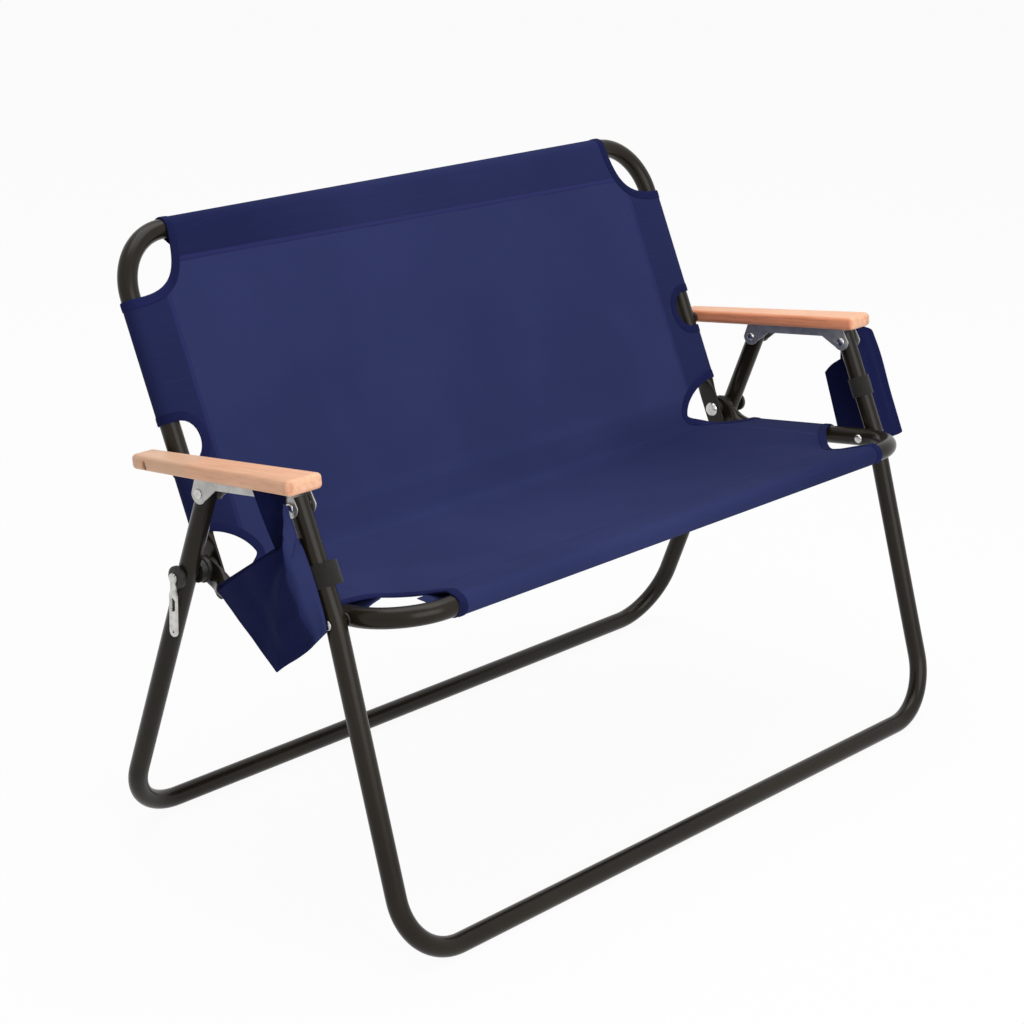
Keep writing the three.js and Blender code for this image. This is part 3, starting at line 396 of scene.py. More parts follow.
# Near-black navy for the hangers: painted shade where they hang under the boards
HANGER_PAINTED_SHADE = grained(
    "hanger_canvas_painted_shade", ((9, 13, 50), (18, 24, 66)), (30, 3), (1500, 2), (0.7, 0.1), (0.1, 0.5),
    Specular_IOR_Level=0.04,
)
BEECH = beech()
ZINC = grained(
    "zinc_plated_sheet", ((168, 168, 168), (196, 195, 190)), (60, 3), (2, 2), (0.36, 0.12), (0.03, 0.4),
    stretch=(20, 500, 500), Metallic=0.7,
)
STEEL = grained(
    "bright_steel", ((186, 185, 182), (212, 211, 208)), (120, 3), (2, 2), (0.22, 0.14), (0.02, 0.3),
    stretch=(900, 30, 900), turn=(0.4, 0.7, 0), Metallic=1.0,
)
PLASTIC = grained(
    "black_moulded_plastic", ((24, 24, 22), (38, 37, 34)), (40, 2), (900, 3), (0.46, 0.12), (0.08, 0.5),
    Specular_IOR_Level=0.4,
)
WEBBING = black_webbing()


# Shared modelling steps
def only(piece):
    bpy.ops.object.select_all(action="DESELECT")
    piece.select_set(True)
    bpy.context.view_layer.objects.active = piece


def start_from(primitive, **settings):
    bpy.ops.object.select_all(action="DESELECT")
    primitive(**settings)
    return bpy.context.object


def edit_all():
    bpy.ops.object.mode_set(mode="EDIT")
    bpy.ops.mesh.select_all(action="SELECT")


def leave_edit():
    bpy.ops.object.mode_set(mode="OBJECT")


def face_outwards(piece):
    """Turns the faces outwards and leaves nothing selected."""
    only(piece)
    edit_all()
    bpy.ops.mesh.normals_make_consistent(inside=False)
    bpy.ops.mesh.select_all(action="DESELECT")
    leave_edit()


def apply_modifier(piece, kind, **settings):
    only(piece)
    made = piece.modifiers.new(kind.lower(), kind)
    for key, value in settings.items():
        setattr(made, key, value)
    bpy.ops.object.modifier_apply(modifier=made.name)


def break_edges(piece, width_mm, segments, angle):
    apply_modifier(
        piece, "BEVEL", width=width_mm / 1000, segments=segments, limit_method="ANGLE",
        angle_limit=math.radians(angle), use_clamp_overlap=True,
    )


def cut_away(piece, tool):
    apply_modifier(piece, "BOOLEAN", object=tool, operation="DIFFERENCE", solver="FAST")
    bpy.data.objects.remove(tool)


def drill(x, spot, radius):
    """A round cutter along the width, centred on x."""
    return start_from(
        bpy.ops.mesh.primitive_cylinder_add, vertices=24, radius=radius / 1000, depth=DRILL_LENGTH / 1000,
        location=place(x, spot), rotation=(0, math.pi / 2, 0),
    )


def settle(piece, name):
    """The piece keeps its place in its mesh, with its object at the origin."""
    piece.name = name
    piece.data.name = name
    only(piece)
    bpy.ops.object.transform_apply(location=True, rotation=True, scale=True)


def as_piece(name, shape):
    """A new object from edited mesh data."""
    mesh = bpy.data.meshes.new(name)
    shape.to_mesh(mesh)
    shape.free()
    piece = bpy.data.objects.new(name, mesh)
    bpy.context.collection.objects.link(piece)
    return piece


def surface(piece, angle, material):
    only(piece)
    bpy.ops.object.shade_smooth_by_angle(angle=math.radians(angle))
    piece.data.materials.clear()
    piece.data.materials.append(material)


def join_body(piece, body, node):
    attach(piece, body)
    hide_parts(node)


# Tubes: a ring is pushed along each straight run and spun round each bend
def bent_tube(name, corners, radii, runs=()):
    heading = (corners[1] - corners[0]).normalized()
    tube = start_from(
        bpy.ops.mesh.primitive_circle_add, vertices=TUBE_SIDES, radius=TUBE_R / 1000, location=corners[0],
        rotation=heading.to_track_quat("Z", "X").to_euler(),
    )
    edit_all()
    spot = corners[0]

    def push(target):
        nonlocal spot
        bpy.ops.mesh.extrude_edges_move(TRANSFORM_OT_translate={"value": target - spot})
        spot = target

    for step in runs:
        push(corners[0] + heading * step / 1000)
    for k in range(1, len(corners) - 1):
        before = (corners[k] - corners[k - 1]).normalized()
        after = (corners[k + 1] - corners[k]).normalized()
        turn = before.angle(after)
        radius = radii[k - 1] / 1000
        push(corners[k] - before * radius * math.tan(turn / 2))
        axis = before.cross(after).normalized()
        centre = spot + axis.cross(before) * radius
        bpy.ops.mesh.spin(steps=max(4, round(turn / BEND_STEP)), angle=-turn, center=centre, axis=axis)
        spot = corners[k] + after * radius * math.tan(turn / 2)
    end = corners[-1]
    heading = (end - corners[-2]).normalized()
    for step in reversed(runs):
        push(end - heading * step / 1000)
    push(end)
    bpy.ops.mesh.select_all(action="SELECT")
    bpy.ops.mesh.fill_holes(sides=0)
    bpy.ops.mesh.normals_make_consistent(inside=False)
    leave_edit()
    settle(tube, name)
    return tube


def press_ends(tube, rows, tips, run):
    """Presses the ends flat. Rows: distance from the end, half width, half thickness, inset, squareness."""
    heading = Vector((0, run.x, run.y))
    lift = Vector((0, -run.y, run.x))
    for tip in tips:
        outward = math.copysign(1, tip.x)
        for vertex in tube.data.vertices:
            offset = vertex.co - tip
            along = offset.dot(heading) * 1000
            if abs(offset.x) > 0.02 or along > rows[-1][0] or along < -1 or offset.length > 0.15:
                continue
            upper = next((k for k, row in enumerate(rows) if row[0] >= along - 1e-3), len(rows) - 1)
            low, high = rows[max(upper - 1, 0)], rows[upper]
            share = 0 if high[0] == low[0] else clamp((along - low[0]) / (high[0] - low[0]))
            wide, thick, inset, square = (a + (b - a) * share for a, b in zip(low[1:], high[1:]))
            round_spots = (offset.dot(lift) * 1000 / TUBE_R, offset.x * 1000 / TUBE_R)
            high_side, out_side = (math.copysign(abs(v) ** (2 / square), v) for v in round_spots)
            vertex.co = tip + heading * along / 1000 + lift * high_side * wide / 1000
            vertex.co.x += (out_side * thick - outward * inset) / 1000


def tongue_rows(wide, flat_run, inset):
    """A flat end with a rounded tip that swells to the round tube."""
    half = wide / 2
    flat = [(half * at, half * width) for at, width in TONGUE_TIP] + [(flat_run, half)]
    return [(at, width, TONGUE_HALF, inset, 4.0) for at, width in flat] + [
        (flat_run + 6, half * 0.95 + TUBE_R * 0.05, 3.8, inset * 0.8, 3.2),
        (flat_run + 14, (half + TUBE_R) / 2, 8.2, inset * 0.3, 2.4),
        (flat_run + 20, TUBE_R, TUBE_R, 0, 2.0),
    ]


def u_corners(x, points):
    return [place(-x, p) for p in points] + [place(x, p) for p in reversed(points)]


def stand_flat(tube):
    for vertex in tube.data.vertices:
        vertex.co.z = max(vertex.co.z, 0)


def notch_end(tube, sign):
    """An open notch in the rear leg's end, wide at the mouth and round where it sits on the pin."""
    across = ALONG_REAR.orthogonal()
    wedge = start_from(
        bpy.ops.mesh.primitive_cylinder_add, vertices=3, radius=NOTCH_WEDGE / 1000, depth=DRILL_LENGTH / 1000,
    )
    for vertex in wedge.data.vertices:
        turn = math.atan2(vertex.co.x, vertex.co.y) + math.pi
        spread = ALONG_REAR * (1 + math.cos(turn)) + across * math.sin(turn)
        vertex.co = place(sign * LEG_X + vertex.co.z * 1000, REAR_PIVOT + spread * NOTCH_WEDGE)
    face_outwards(wedge)
    cut_away(tube, wedge)
    cut_away(tube, drill(sign * LEG_X, REAR_PIVOT, NOTCH_R))


def finish_tube(tube, body):
    surface(tube, 40, COAT)
    join_body(tube, body, f"{body}_frame")


def tube_frames():
    corners = u_corners(LEG_X, [FRONT_PIVOT + UP_BACK * LEG_TOP, KNEE, Vector((0, FOOT_Z))])
    front = bent_tube("front_leg_tube", corners, [KNEE_BEND, FOOT_BEND, FOOT_BEND, KNEE_BEND])
    stand_flat(front)
    finish_tube(front, "front_leg")

    corners = u_corners(LEG_X, [REAR_PIVOT + ALONG_REAR * LEG_TOP, Vector((REAR_FOOT, FOOT_Z))])
    rear = bent_tube("rear_leg_tube", corners, [FOOT_BEND, FOOT_BEND])
    stand_flat(rear)
    for sign in SIDES.values():
        notch_end(rear, sign)
    finish_tube(rear, "rear_leg")

    rows = tongue_rows(*BACK_TONGUE)
    corners = u_corners(BACK_X, [HINGE - UP_BACK * BACK_TONGUE_TAIL, BACK_TOP])
    back = bent_tube("backrest_tube", corners, [BACK_BEND, BACK_BEND], [row[0] for row in rows[1:]])
    press_ends(back, rows, (corners[0], corners[-1]), UP_BACK)
    finish_tube(back, "backrest")

    rows = tongue_rows(*SEAT_TONGUE)
    crank = KNEE + SEAT_REAR * ((HINGE - KNEE).dot(SEAT_REAR) - CRANK_REACH)
    out = (HINGE - crank).normalized()
    corners = u_corners(SEAT_X, [HINGE + out * SEAT_TONGUE_TAIL, crank, KNEE - SEAT_REAR * SEAT_OVERHANG])
    bends = [CRANK_BEND, SEAT_BEND, SEAT_BEND, CRANK_BEND]
    seat = bent_tube("seat_tube", corners, bends, [row[0] for row in rows[1:]])
    press_ends(seat, rows, (corners[0], corners[-1]), -out)
    finish_tube(seat, "seat")


tube_frames()


# Small turned and pressed pieces: the solid itself, merged, with its edges broken
def dressed(node, material, body, edge=0.35, angle=30):
    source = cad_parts[node]
    piece = source.copy()
    piece.data = source.data.copy()
    bpy.context.collection.objects.link(piece)
    piece.parent = None
    piece.matrix_world = Matrix.Identity(4)
    piece.hide_render = False
    only(piece)
    edit_all()
    bpy.ops.mesh.remove_doubles(threshold=1e-6)
    bpy.ops.mesh.dissolve_limited(angle_limit=math.radians(1.5))
    leave_edit()
    settle(piece, f"{node}_dressed")
    break_edges(piece, edge, 2, angle)
    surface(piece, angle, material)
    join_body(piece, body, node)
    return piece


def widen_lug(lug):
    """The moulded lug spreads over the tube, wider than the turned cap under it."""
    only(lug)
    edit_all()
    bpy.ops.transform.resize(value=(1, 1.34, 1.34), center_override=place(0, HINGE))
    leave_edit()


def small_hardware():
    for side in SIDES:
        for node in ("front_rivet", "rear_pin", "bracket_screw_front", "bracket_screw_rear", "arm_bolt"):
            dressed(f"{node}_{side}", STEEL, "armrests", 0.2)
        dressed(f"arm_bracket_{side}", ZINC, "armrests", 0.25)
        dressed(f"arm_spacer_{side}", PLASTIC, "armrests")
        dressed(f"seat_rivet_{side}", STEEL, "seat", 0.2)
        dressed(f"seat_spacer_{side}", PLASTIC, "seat")
        dressed(f"hinge_bolt_{side}", STEEL, "rear_leg", 0.3)
        for node in ("hinge_washer", "hinge_bush"):
            dressed(f"{node}_{side}", PLASTIC, "rear_leg", 0.5)
        widen_lug(dressed(f"hinge_cap_{side}", PLASTIC, "rear_leg", 0.5))
    dressed("opener_stud", STEEL, "rear_leg", 0.3)
    dressed("bottle_opener", STEEL, "opener", 0.4)


small_hardware()


# Armrest boards: a block tapered to the front, its upright corners and then its edges rounded
def in_arm(along, height):
    return FRONT_PIVOT + ALONG_ARM * along + ARM_UP * height


def armrest_board(side):
    sign = SIDES[side]
    board = start_from(bpy.ops.mesh.primitive_cube_add, size=1)
    tail = ARM_REACH.dot(ALONG_ARM) + ARM_TAIL
    front_inner = ARM_INNER + ARM_FRONT_SHIFT
    for vertex in board.data.vertices:
        outside = vertex.co.x > 0
        height = ARM_RISE if vertex.co.z < 0 else ARM_RISE + ARM_THICK
        if vertex.co.y < 0:
            vertex.co = place(sign * (front_inner + outside * ARM_FRONT_WIDE), in_arm(-ARM_NOSE, height))
        else:
            vertex.co = place(sign * (ARM_INNER + outside * ARM_REAR_WIDE), in_arm(tail, height))
    face_outwards(board)
    lift = Vector((0, ARM_UP.x, ARM_UP.y))
    corner = place(sign * (front_inner + ARM_FRONT_WIDE), in_arm(-ARM_NOSE, ARM_RISE + ARM_THICK / 2))
    for near, radius in ((True, ARM_FRONT_CORNER[side]), (False, ARM_CORNER)):
        for edge in board.data.edges:
            a, b = (board.data.vertices[k].co for k in edge.vertices)
            upright = abs((a - b).normalized().dot(lift)) > 0.9
            edge.select = upright and (((a + b) / 2 - corner).length < 0.03) == near
        bpy.ops.object.mode_set(mode="EDIT")
        bpy.ops.mesh.bevel(offset=radius / 1000, segments=6, affect="EDGES")
        leave_edit()
    break_edges(board, ARM_EDGE, 3, 50)
    settle(board, f"armrest_board_{side}")
    head = ARM_INNER + ARM_REAR_WIDE - BOLT_SINK
    cut_away(board, drill(sign * (head + DRILL_LENGTH / 2), ARM_PIVOT, BOLT_RECESS_R))
    surface(board, 35, BEECH)
    join_body(board, "armrests", f"armrest_{side}")


for side in SIDES:
    armrest_board(side)


# Canvas pattern: x across, p along the cloth from the crease, positive up the back and negative over the seat
CLOTH_R = 13.3
CLOTH_THICK = 1.0
CREASE_BACK = 30.0
SEAT_END = (HINGE - KNEE).dot(SEAT_REAR) - 26.0
SLEEVE_SEAM = 52.0
SEAM_DROP = CLOTH_R - 1.8
BACK_GIVE = 5.0
SEAT_GIVE = 8.0
CREASE_HIGH = HINGE + UP_BACK * CREASE_BACK + BACK_FRONT * CLOTH_R
CREASE_LOW = KNEE + SEAT_REAR * SEAT_END + SEAT_UP * CLOTH_R


def crease_row():
    reach = cross2(CREASE_HIGH - CREASE_LOW, UP_BACK) / cross2(SEAT_REAR, UP_BACK)
    corner = CREASE_LOW + SEAT_REAR * reach
    points = []
    for k in range(61):
        t = k / 60
        points.append(CREASE_HIGH * (1 - t) ** 2 + corner * 2 * t * (1 - t) + CREASE_LOW * t ** 2)
    lengths = [0.0]
    for a, b in zip(points, points[1:]):
        lengths.append(lengths[-1] + (b - a).length)
    return points, lengths


CREASE_POINTS, CREASE_LENGTHS = crease_row()
CREASE = CREASE_LENGTHS[-1]


# Pattern places of distances up the back from the hinge and over the seat from the knee, both ways
def from_back(v):
    return v - CREASE_BACK


def up_the_back(p):
    return CREASE_BACK + p


def from_seat(q):
    return q - SEAT_END - CREASE


def over_the_seat(p):
    return SEAT_END + CREASE + p


def sleeve_turn():
    """Angle at which the cloth leaves the tube behind, and its straight run from there to its seam."""
    far = math.hypot(SLEEVE_SEAM, SEAM_DROP)
    turn = 1.5 * math.pi + math.atan2(SEAM_DROP, SLEEVE_SEAM) - math.acos(CLOTH_R / far)
    return turn, math.sqrt(far ** 2 - CLOTH_R ** 2)


SLEEVE_ANGLE, SLEEVE_RETURN = sleeve_turn()
SLEEVE_WRAP = CLOTH_R * SLEEVE_ANGLE + SLEEVE_RETURN


def wrap(past):
    """Cloth past a tube: offset outwards and to the sitting side, normal, and share of the return."""
    turn = min(past / CLOTH_R, SLEEVE_ANGLE)
    normal = (math.sin(turn), math.cos(turn))
    spare = max(0.0, past - CLOTH_R * SLEEVE_ANGLE)
    out = CLOTH_R * normal[0] + spare * normal[1]
    front = CLOTH_R * normal[1] - spare * normal[0]
    return out, front, normal, spare / SLEEVE_RETURN


def canvas_sag(x, p):
    """How far the stretched canvas gives from its flat plane, in millimetres."""
    reach = abs(x)
    width = max(0.0, 1 - (reach / 450) ** 2.4)
    if p >= 0:
        v = up_the_back(p)
        give = BACK_GIVE * width * bump_over(v, -40, BACK_LENGTH)
        pull = 1.4 * bell(reach + (v - 60) * 0.7, 330, 26) * bump_over(v, 20, 200)
        ripple = 0.7 * math.sin(x / 37 + v / 61) * bump_over(v, 30, 385) * width
        return give + pull + ripple
    if p > -CREASE:
        share = -p / CREASE
        return width * (1.25 * (1 - share) + 1.4 * share)
    q = over_the_seat(p)
    give = SEAT_GIVE * width * bump_over(q, -SEAT_OVERHANG, SEAT_END + 55)
    folds = 0.9 * math.sin((x + q * 2.3) / 44) * bell(q, -5, 80) * width * bump_over(q, -SEAT_OVERHANG, 220)
    drag = 1.6 * bell(reach + (q - 40) * 0.9, 380, 30) * bump_over(q, -40, 160)
    slack = 9.0 * bell(reach, 398, 46) * bell(q, -8, 42)
    slack *= clamp((q + SEAT_OVERHANG) / 30) * clamp((SEAT_X - reach) / 30)
    return give + folds + drag + slack


def canvas_point(x, p, lift=0.0):
    """A pattern point in space, in metres, raised above the cloth's outer face by lift millimetres."""
    sign = math.copysign(1, x)
    reach = abs(x)
    if p >= 0:
        origin, along, front, edge, end = HINGE, UP_BACK, BACK_FRONT, BACK_X, BACK_LENGTH
        travel = up_the_back(p)
    elif p <= -CREASE:
        origin, along, front, edge, end = KNEE, -SEAT_REAR, SEAT_UP, SEAT_X, SEAT_OVERHANG
        travel = -over_the_seat(p)
    else:
        k = max(1, next(k for k, length in enumerate(CREASE_LENGTHS) if length >= -p))
        share = (-p - CREASE_LENGTHS[k - 1]) / (CREASE_LENGTHS[k] - CREASE_LENGTHS[k - 1])
        spot = CREASE_POINTS[k - 1].lerp(CREASE_POINTS[k], share)
        run = (CREASE_POINTS[k - 1] - CREASE_POINTS[k]).normalized()
        return place(x, spot + Vector((-run.y, run.x)) * (lift - canvas_sag(x, p)))
    if travel > end:
        out, high, normal, back = wrap(travel - end)
        above = from_back(end + out) if p >= 0 else from_seat(-end - out)
        high -= back * canvas_sag(x, above)
        return place(x, origin + along * (end + out + normal[0] * lift) + front * (high + normal[1] * lift))
    if reach > edge:
        out, high, normal, back = wrap(reach - edge)
        high -= back * canvas_sag(sign * (edge + out), p)
        spot = origin + along * travel + front * (high + normal[1] * lift)
        return place(sign * (edge + out + normal[0] * lift), spot)
    return place(x, origin + along * travel + front * (CLOTH_R + lift - canvas_sag(x, p)))


def bezier(steps, *points):
    made = interpolate_bezier(*(Vector((*point, 0)) for point in points), steps + 1)
    return [(point.x, point.y) for point in made]


def on_line(points, share):
    """A point on a polyline of evenly shared corners, rounded through them."""
    spot = min(0.9999, max(0.0, share)) * (len(points) - 1)
    k = int(spot)
    t = spot - k
    a, b, c, d = [Vector(points[min(len(points) - 1, max(0, k + step))]) for step in (-1, 0, 1, 2)]
    bend = (2 * a - 5 * b + 4 * c - d) * t * t
    twist = (3 * b - a - 3 * c + d) * t ** 3
    return 0.5 * (2 * b + (c - a) * t + bend + twist)


def notch_cuts(top_x, hinge_rise, hinge_x, lead, front):
    """One side's four cut lines, from the top corner down to the front corner."""
    def back(x, v):
        return x, from_back(v)

    def seat(x, q):
        return x, from_seat(q)

    fold = -CREASE * 0.55
    tip = (hinge_x, fold)
    tail = seat(434, 219)
    high = back(hinge_x + lead, hinge_rise - 2)
    hinge = bezier(14, back(BACK_X, hinge_rise), high, back(hinge_x + 9, 24), tip)
    hinge += bezier(8, tip, (hinge_x - 2, fold * 1.3), (424, fold * 1.42), tail)[1:]
    hinge += bezier(8, tail, seat(441, 207), seat(454, 193), seat(SEAT_X, 190))[1:]
    return {
        "top": bezier(16, back(top_x, BACK_LENGTH), back(top_x + 4, 342), back(408, 321), back(BACK_X, 320)),
        "arm": bezier(14, back(BACK_X, 173), back(424, 176), back(424, 118), back(BACK_X, 121)),
        "hinge": hinge,
        "front": [seat(*on_line(front, k / 24)) for k in range(25)],
    }


LEFT_FRONT_NOTCH = [
    (SEAT_X, 14), (456, 14), (438, 16), (418, 14), (400, 3),
    (388, -14), (381, -34), (384, -55), (395, -SEAT_OVERHANG),
]
RIGHT_FRONT_NOTCH = [
    (SEAT_X, 56), (455, 47), (436, 34), (416, 19), (396, 0),
    (379, -20), (370, -39), (377, -57), (395, -SEAT_OVERHANG),
]
NOTCHES = {
    "left": notch_cuts(391, 40, 406, 40, LEFT_FRONT_NOTCH),
    "right": notch_cuts(387, 44, 388, 44, RIGHT_FRONT_NOTCH),
}
FRONT_TUCKS = {"left": (from_seat(12), 4), "right": (from_seat(62), -22)}


def canvas_outline(side):
    """One half of the cut cloth, from the top sleeve's end to the front sleeve's end, drawn on the right."""
    top = from_back(BACK_LENGTH + SLEEVE_WRAP)
    low = from_seat(-SEAT_OVERHANG - SLEEVE_WRAP)
    back_edge = BACK_X + SLEEVE_WRAP
    seat_edge = SEAT_X + SLEEVE_WRAP
    cuts = NOTCHES[side]
    top_x, front_x = cuts["top"][0][0], cuts["front"][-1][0]
    points = [(top_x - 22, top), (top_x - 2, from_back(BACK_LENGTH + CLOTH_R * 3)), *cuts["top"]]
    for cut in ("arm", "hinge"):
        points += [(back_edge, points[-1][1]), (back_edge, cuts[cut][0][1]), *cuts[cut]]
    under, tuck = FRONT_TUCKS[side]
    points += [(seat_edge, points[-1][1]), (seat_edge, under), (SEAT_X + CLOTH_R * 3, under), *cuts["front"]]
    return points + [(front_x + 2, from_seat(-SEAT_OVERHANG - CLOTH_R * 2)), (front_x + tuck, low)]


def steps_between(low, high, pitch):
    count = max(1, round((high - low) / pitch))
    return [low + (high - low) * k / count for k in range(1, count)]


def cut_sheet(name, outline, across, along):
    """A flat sheet from its outline, cut along a grid so that it can bend."""
    grid = bmesh.new()
    grid.faces.new([grid.verts.new((x, p, 0)) for x, p in outline])
    for normal, marks in ((Vector((1, 0, 0)), across), (Vector((0, 1, 0)), along)):
        for mark in marks:
            everything = grid.verts[:] + grid.edges[:] + grid.faces[:]
            bmesh.ops.bisect_plane(grid, geom=everything, plane_co=normal * mark, plane_no=normal, dist=1e-4)
    bmesh.ops.triangulate(grid, faces=[face for face in grid.faces if len(face.verts) > 4])
    bmesh.ops.recalc_face_normals(grid, faces=grid.faces)
    if grid.faces[0].normal.z < 0:
        bmesh.ops.reverse_faces(grid, faces=grid.faces)
    return as_piece(name, grid)


def flat_size(outline):
    """Width and length over a flat outline, in metres."""
    return tuple((max(line) - min(line)) / 1000 for line in zip(*outline))


def flat_area(sheet):
    return sum(polygon.area for polygon in sheet.data.polygons) / 1e6


# Shades of the cloth: hems double it, and painted shade darkens the upper back and the seat towards the right
SEAM_FAR = 50.0
LEFT_HEM = 47.0
RIGHT_HEM = 59.0
TOP_HEM = 48.0
LEFT_HEM_SHADE = 0.62
RIGHT_HEM_SHADE = 0.54
# Painted shade on the plain back, darker towards its top
BACK_PAINTED_SHADE = 0.16


def side_hem(x):
    return LEFT_HEM if x < 0 else RIGHT_HEM


def top_hem(x):
    return TOP_HEM + x * 0.012


def seam_distance(x, p):
    """Distance in millimetres past the nearest seam of the hems, negative on the plain cloth."""
    reach = abs(x)
    past = -SEAM_FAR
    if p >= 0:
        past = max(up_the_back(p) - (BACK_LENGTH - top_hem(x)), reach - (BACK_X - side_hem(x)))
    elif p <= -CREASE:
        past = max(SLEEVE_SEAM - SEAT_OVERHANG - over_the_seat(p), reach - (SEAT_X - SLEEVE_SEAM))
    return min(SEAM_FAR, max(-SEAM_FAR, past))


def top_shade(x):
    return 0.8 - 0.32 * ease((x + 330) / 300)


# Painted shade on the seat, darker towards the right
def seat_painted_shade(x):
    return 0.03 + 0.55 * ease((x + 60) / 460)


# Painted shade on the seat's hemmed front edge, a little darker than the seat's
def front_hem_and_painted_shade(x):
    return 0.05 + 0.9 * seat_painted_shade(x)


def hem_and_shade_share(x, p):
    """How far the cloth's colour goes towards the dark of the hems, with painted shade added on the seat, its
    front edge, the crease and the upper back.
    """
    if p >= 0:
        v = up_the_back(p)
        if v > BACK_LENGTH - top_hem(x):
            return top_shade(x)
        if abs(x) > BACK_X - side_hem(x):
            return LEFT_HEM_SHADE if x < 0 else RIGHT_HEM_SHADE
        return BACK_PAINTED_SHADE * v / BACK_LENGTH
    if p <= -CREASE:
        in_hem = over_the_seat(p) < SLEEVE_SEAM - SEAT_OVERHANG
        return front_hem_and_painted_shade(x) if in_hem else seat_painted_shade(x)
    share = -p / CREASE
    return seat_painted_shade(x) * share + BACK_PAINTED_SHADE * CREASE_BACK / BACK_LENGTH * (1 - share)


def mark_cloth(sheet):
    """Pattern coordinates, the darkening by hems and painted shade, and seam distance kept on the cloth for
    its material.
    """
    mesh = sheet.data
    spots = [vertex.co.copy() for vertex in mesh.vertices]
    pattern = mesh.uv_layers.new(name="pattern")
    for loop in mesh.loops:
        spot = spots[loop.vertex_index]
        pattern.data[loop.index].uv = (spot.x / 1000, spot.y / 1000)
    for name, rule in (("hem_and_painted_shade", hem_and_shade_share), ("seam_mm", seam_distance)):
        layer = mesh.attributes.new(name, "FLOAT", "POINT")
        for item, spot in zip(layer.data, spots):
            item.value = rule(spot.x, spot.y)


# Rows of the sling's grid: coarse on the plain cloth, fine round the tubes and the crease
COARSE = 15
FINE = 3.4
RETURN_STEP = 12
CREASE_STEP = 4.5
EDGE_NEAR = BACK_X - 4
EDGE_FAR = 535
FINE_RUN = 51


def sling():
    right = canvas_outline("right")
    outline = right + [(-x, p) for x, p in reversed(canvas_outline("left"))]
    wide = max(x for x, _ in right)
    half = steps_between(0, EDGE_NEAR, COARSE) + [EDGE_NEAR] + steps_between(EDGE_NEAR, EDGE_FAR, FINE)
    half += [EDGE_FAR] + steps_between(EDGE_FAR, wide, RETURN_STEP)
    seams = [BACK_X - LEFT_HEM, BACK_X - RIGHT_HEM, SEAT_X - SLEEVE_SEAM]
    half += [seam + d for seam in seams for d in (-2, 0, 2)]
    top, low = from_back(BACK_LENGTH), from_seat(-SEAT_OVERHANG)
    along = [top] + steps_between(top, top + FINE_RUN, FINE)
    along += steps_between(top + FINE_RUN, top + SLEEVE_WRAP, RETURN_STEP)
    along += steps_between(0, top, COARSE) + [0] + steps_between(-CREASE, 0, CREASE_STEP) + [-CREASE]
    along += steps_between(low, -CREASE, COARSE) + [low] + steps_between(low - FINE_RUN, low, FINE)
    along += steps_between(low - SLEEVE_WRAP, low - FINE_RUN, RETURN_STEP)
    along += [top - 53 + 2 * d for d in range(6)] + [low + SLEEVE_SEAM + d for d in (-2, 0, 2)]
    sheet = cut_sheet("sling_canvas", outline, sorted([-x for x in half] + [0] + half), sorted(along))
    mark_cloth(sheet)
    area = flat_area(sheet)
    for vertex in sheet.data.vertices:
        vertex.co = canvas_point(vertex.co.x, vertex.co.y)
    apply_modifier(sheet, "SOLIDIFY", thickness=CLOTH_THICK / 1000, offset=-1)
    surface(sheet, 60, CANVAS)
    return sheet, flat_size(outline), area


def inward(path, k):
    """Pattern direction from the path towards the cloth, to the path's left."""
    before = path[max(0, k - 1)]
    after = path[min(len(path) - 1, k + 1)]
    run = Vector((after[0] - before[0], after[1] - before[1])).normalized()
    return Vector((-run.y, run.x))


# Binding in section: distance in from the cut edge, and height over the cloth's outer face
TAPE_PROFILE = [
    (10, 0.1), (9.6, 0.75), (5, 0.9), (0.4, 0.9), (-1.0, 0.4),
    (-1.0, -1.4), (0.4, -1.9), (5, -1.9), (9.6, -1.75), (10, -1.1),
]


def tape_along(path, name, turn):
    """Binding folded over the cloth's cut edge."""
    tape = bmesh.new()
    rings = []
    for k, (x, p) in enumerate(path):
        side = inward(path, k) * turn
        spots = [canvas_point(x + side.x * inset, p + side.y * inset, lift) for inset, lift in TAPE_PROFILE]
        rings.append([tape.verts.new(spot) for spot in spots])
    count = len(TAPE_PROFILE)
    for first, second in zip(rings, rings[1:]):
        for k in range(count):
            after = (k + 1) % count
            tape.faces.new((first[k], first[after], second[after], second[k]))
    tape.faces.new(rings[0])
    tape.faces.new(list(reversed(rings[-1])))
    bmesh.ops.recalc_face_normals(tape, faces=tape.faces)
    return as_piece(name, tape)


def straight(start, end, shares):
    return [(start[0] + (end[0] - start[0]) * k, start[1] + (end[1] - start[1]) * k) for k in shares]


def bindings():
    """Tape on each notch, from one tube round the cut to the next."""
    over = CLOTH_R * 2.6
    top, low = from_back(BACK_LENGTH), from_seat(-SEAT_OVERHANG)
    back_out, seat_out = BACK_X + over, SEAT_X + over
    made = []
    for side in ("right", "left"):
        sign = SIDES[side]
        cuts = NOTCHES[side]
        ends = {
            "top": ((cuts["top"][0][0], top + over), (back_out, cuts["top"][-1][1])),
            "arm": ((back_out, cuts["arm"][0][1]), (back_out, cuts["arm"][-1][1])),
            "hinge": ((back_out, cuts["hinge"][0][1]), (seat_out, cuts["hinge"][-1][1])),
            "front": ((seat_out, cuts["front"][0][1]), (cuts["front"][-1][0], low - over)),
        }
        for name, (start, end) in ends.items():
            cut = cuts[name]
            lead = straight(start, cut[0], [k / 9 for k in range(9)])
            tail = straight(cut[-1], end, [k / 9 for k in range(1, 10)])
            path = [(sign * x, p) for x, p in lead + cut + tail]
            tape = tape_along(path, f"sling_tape_{name}_{side}", -sign)
            surface(tape, 50, BINDING)
            made.append(tape)
    return made


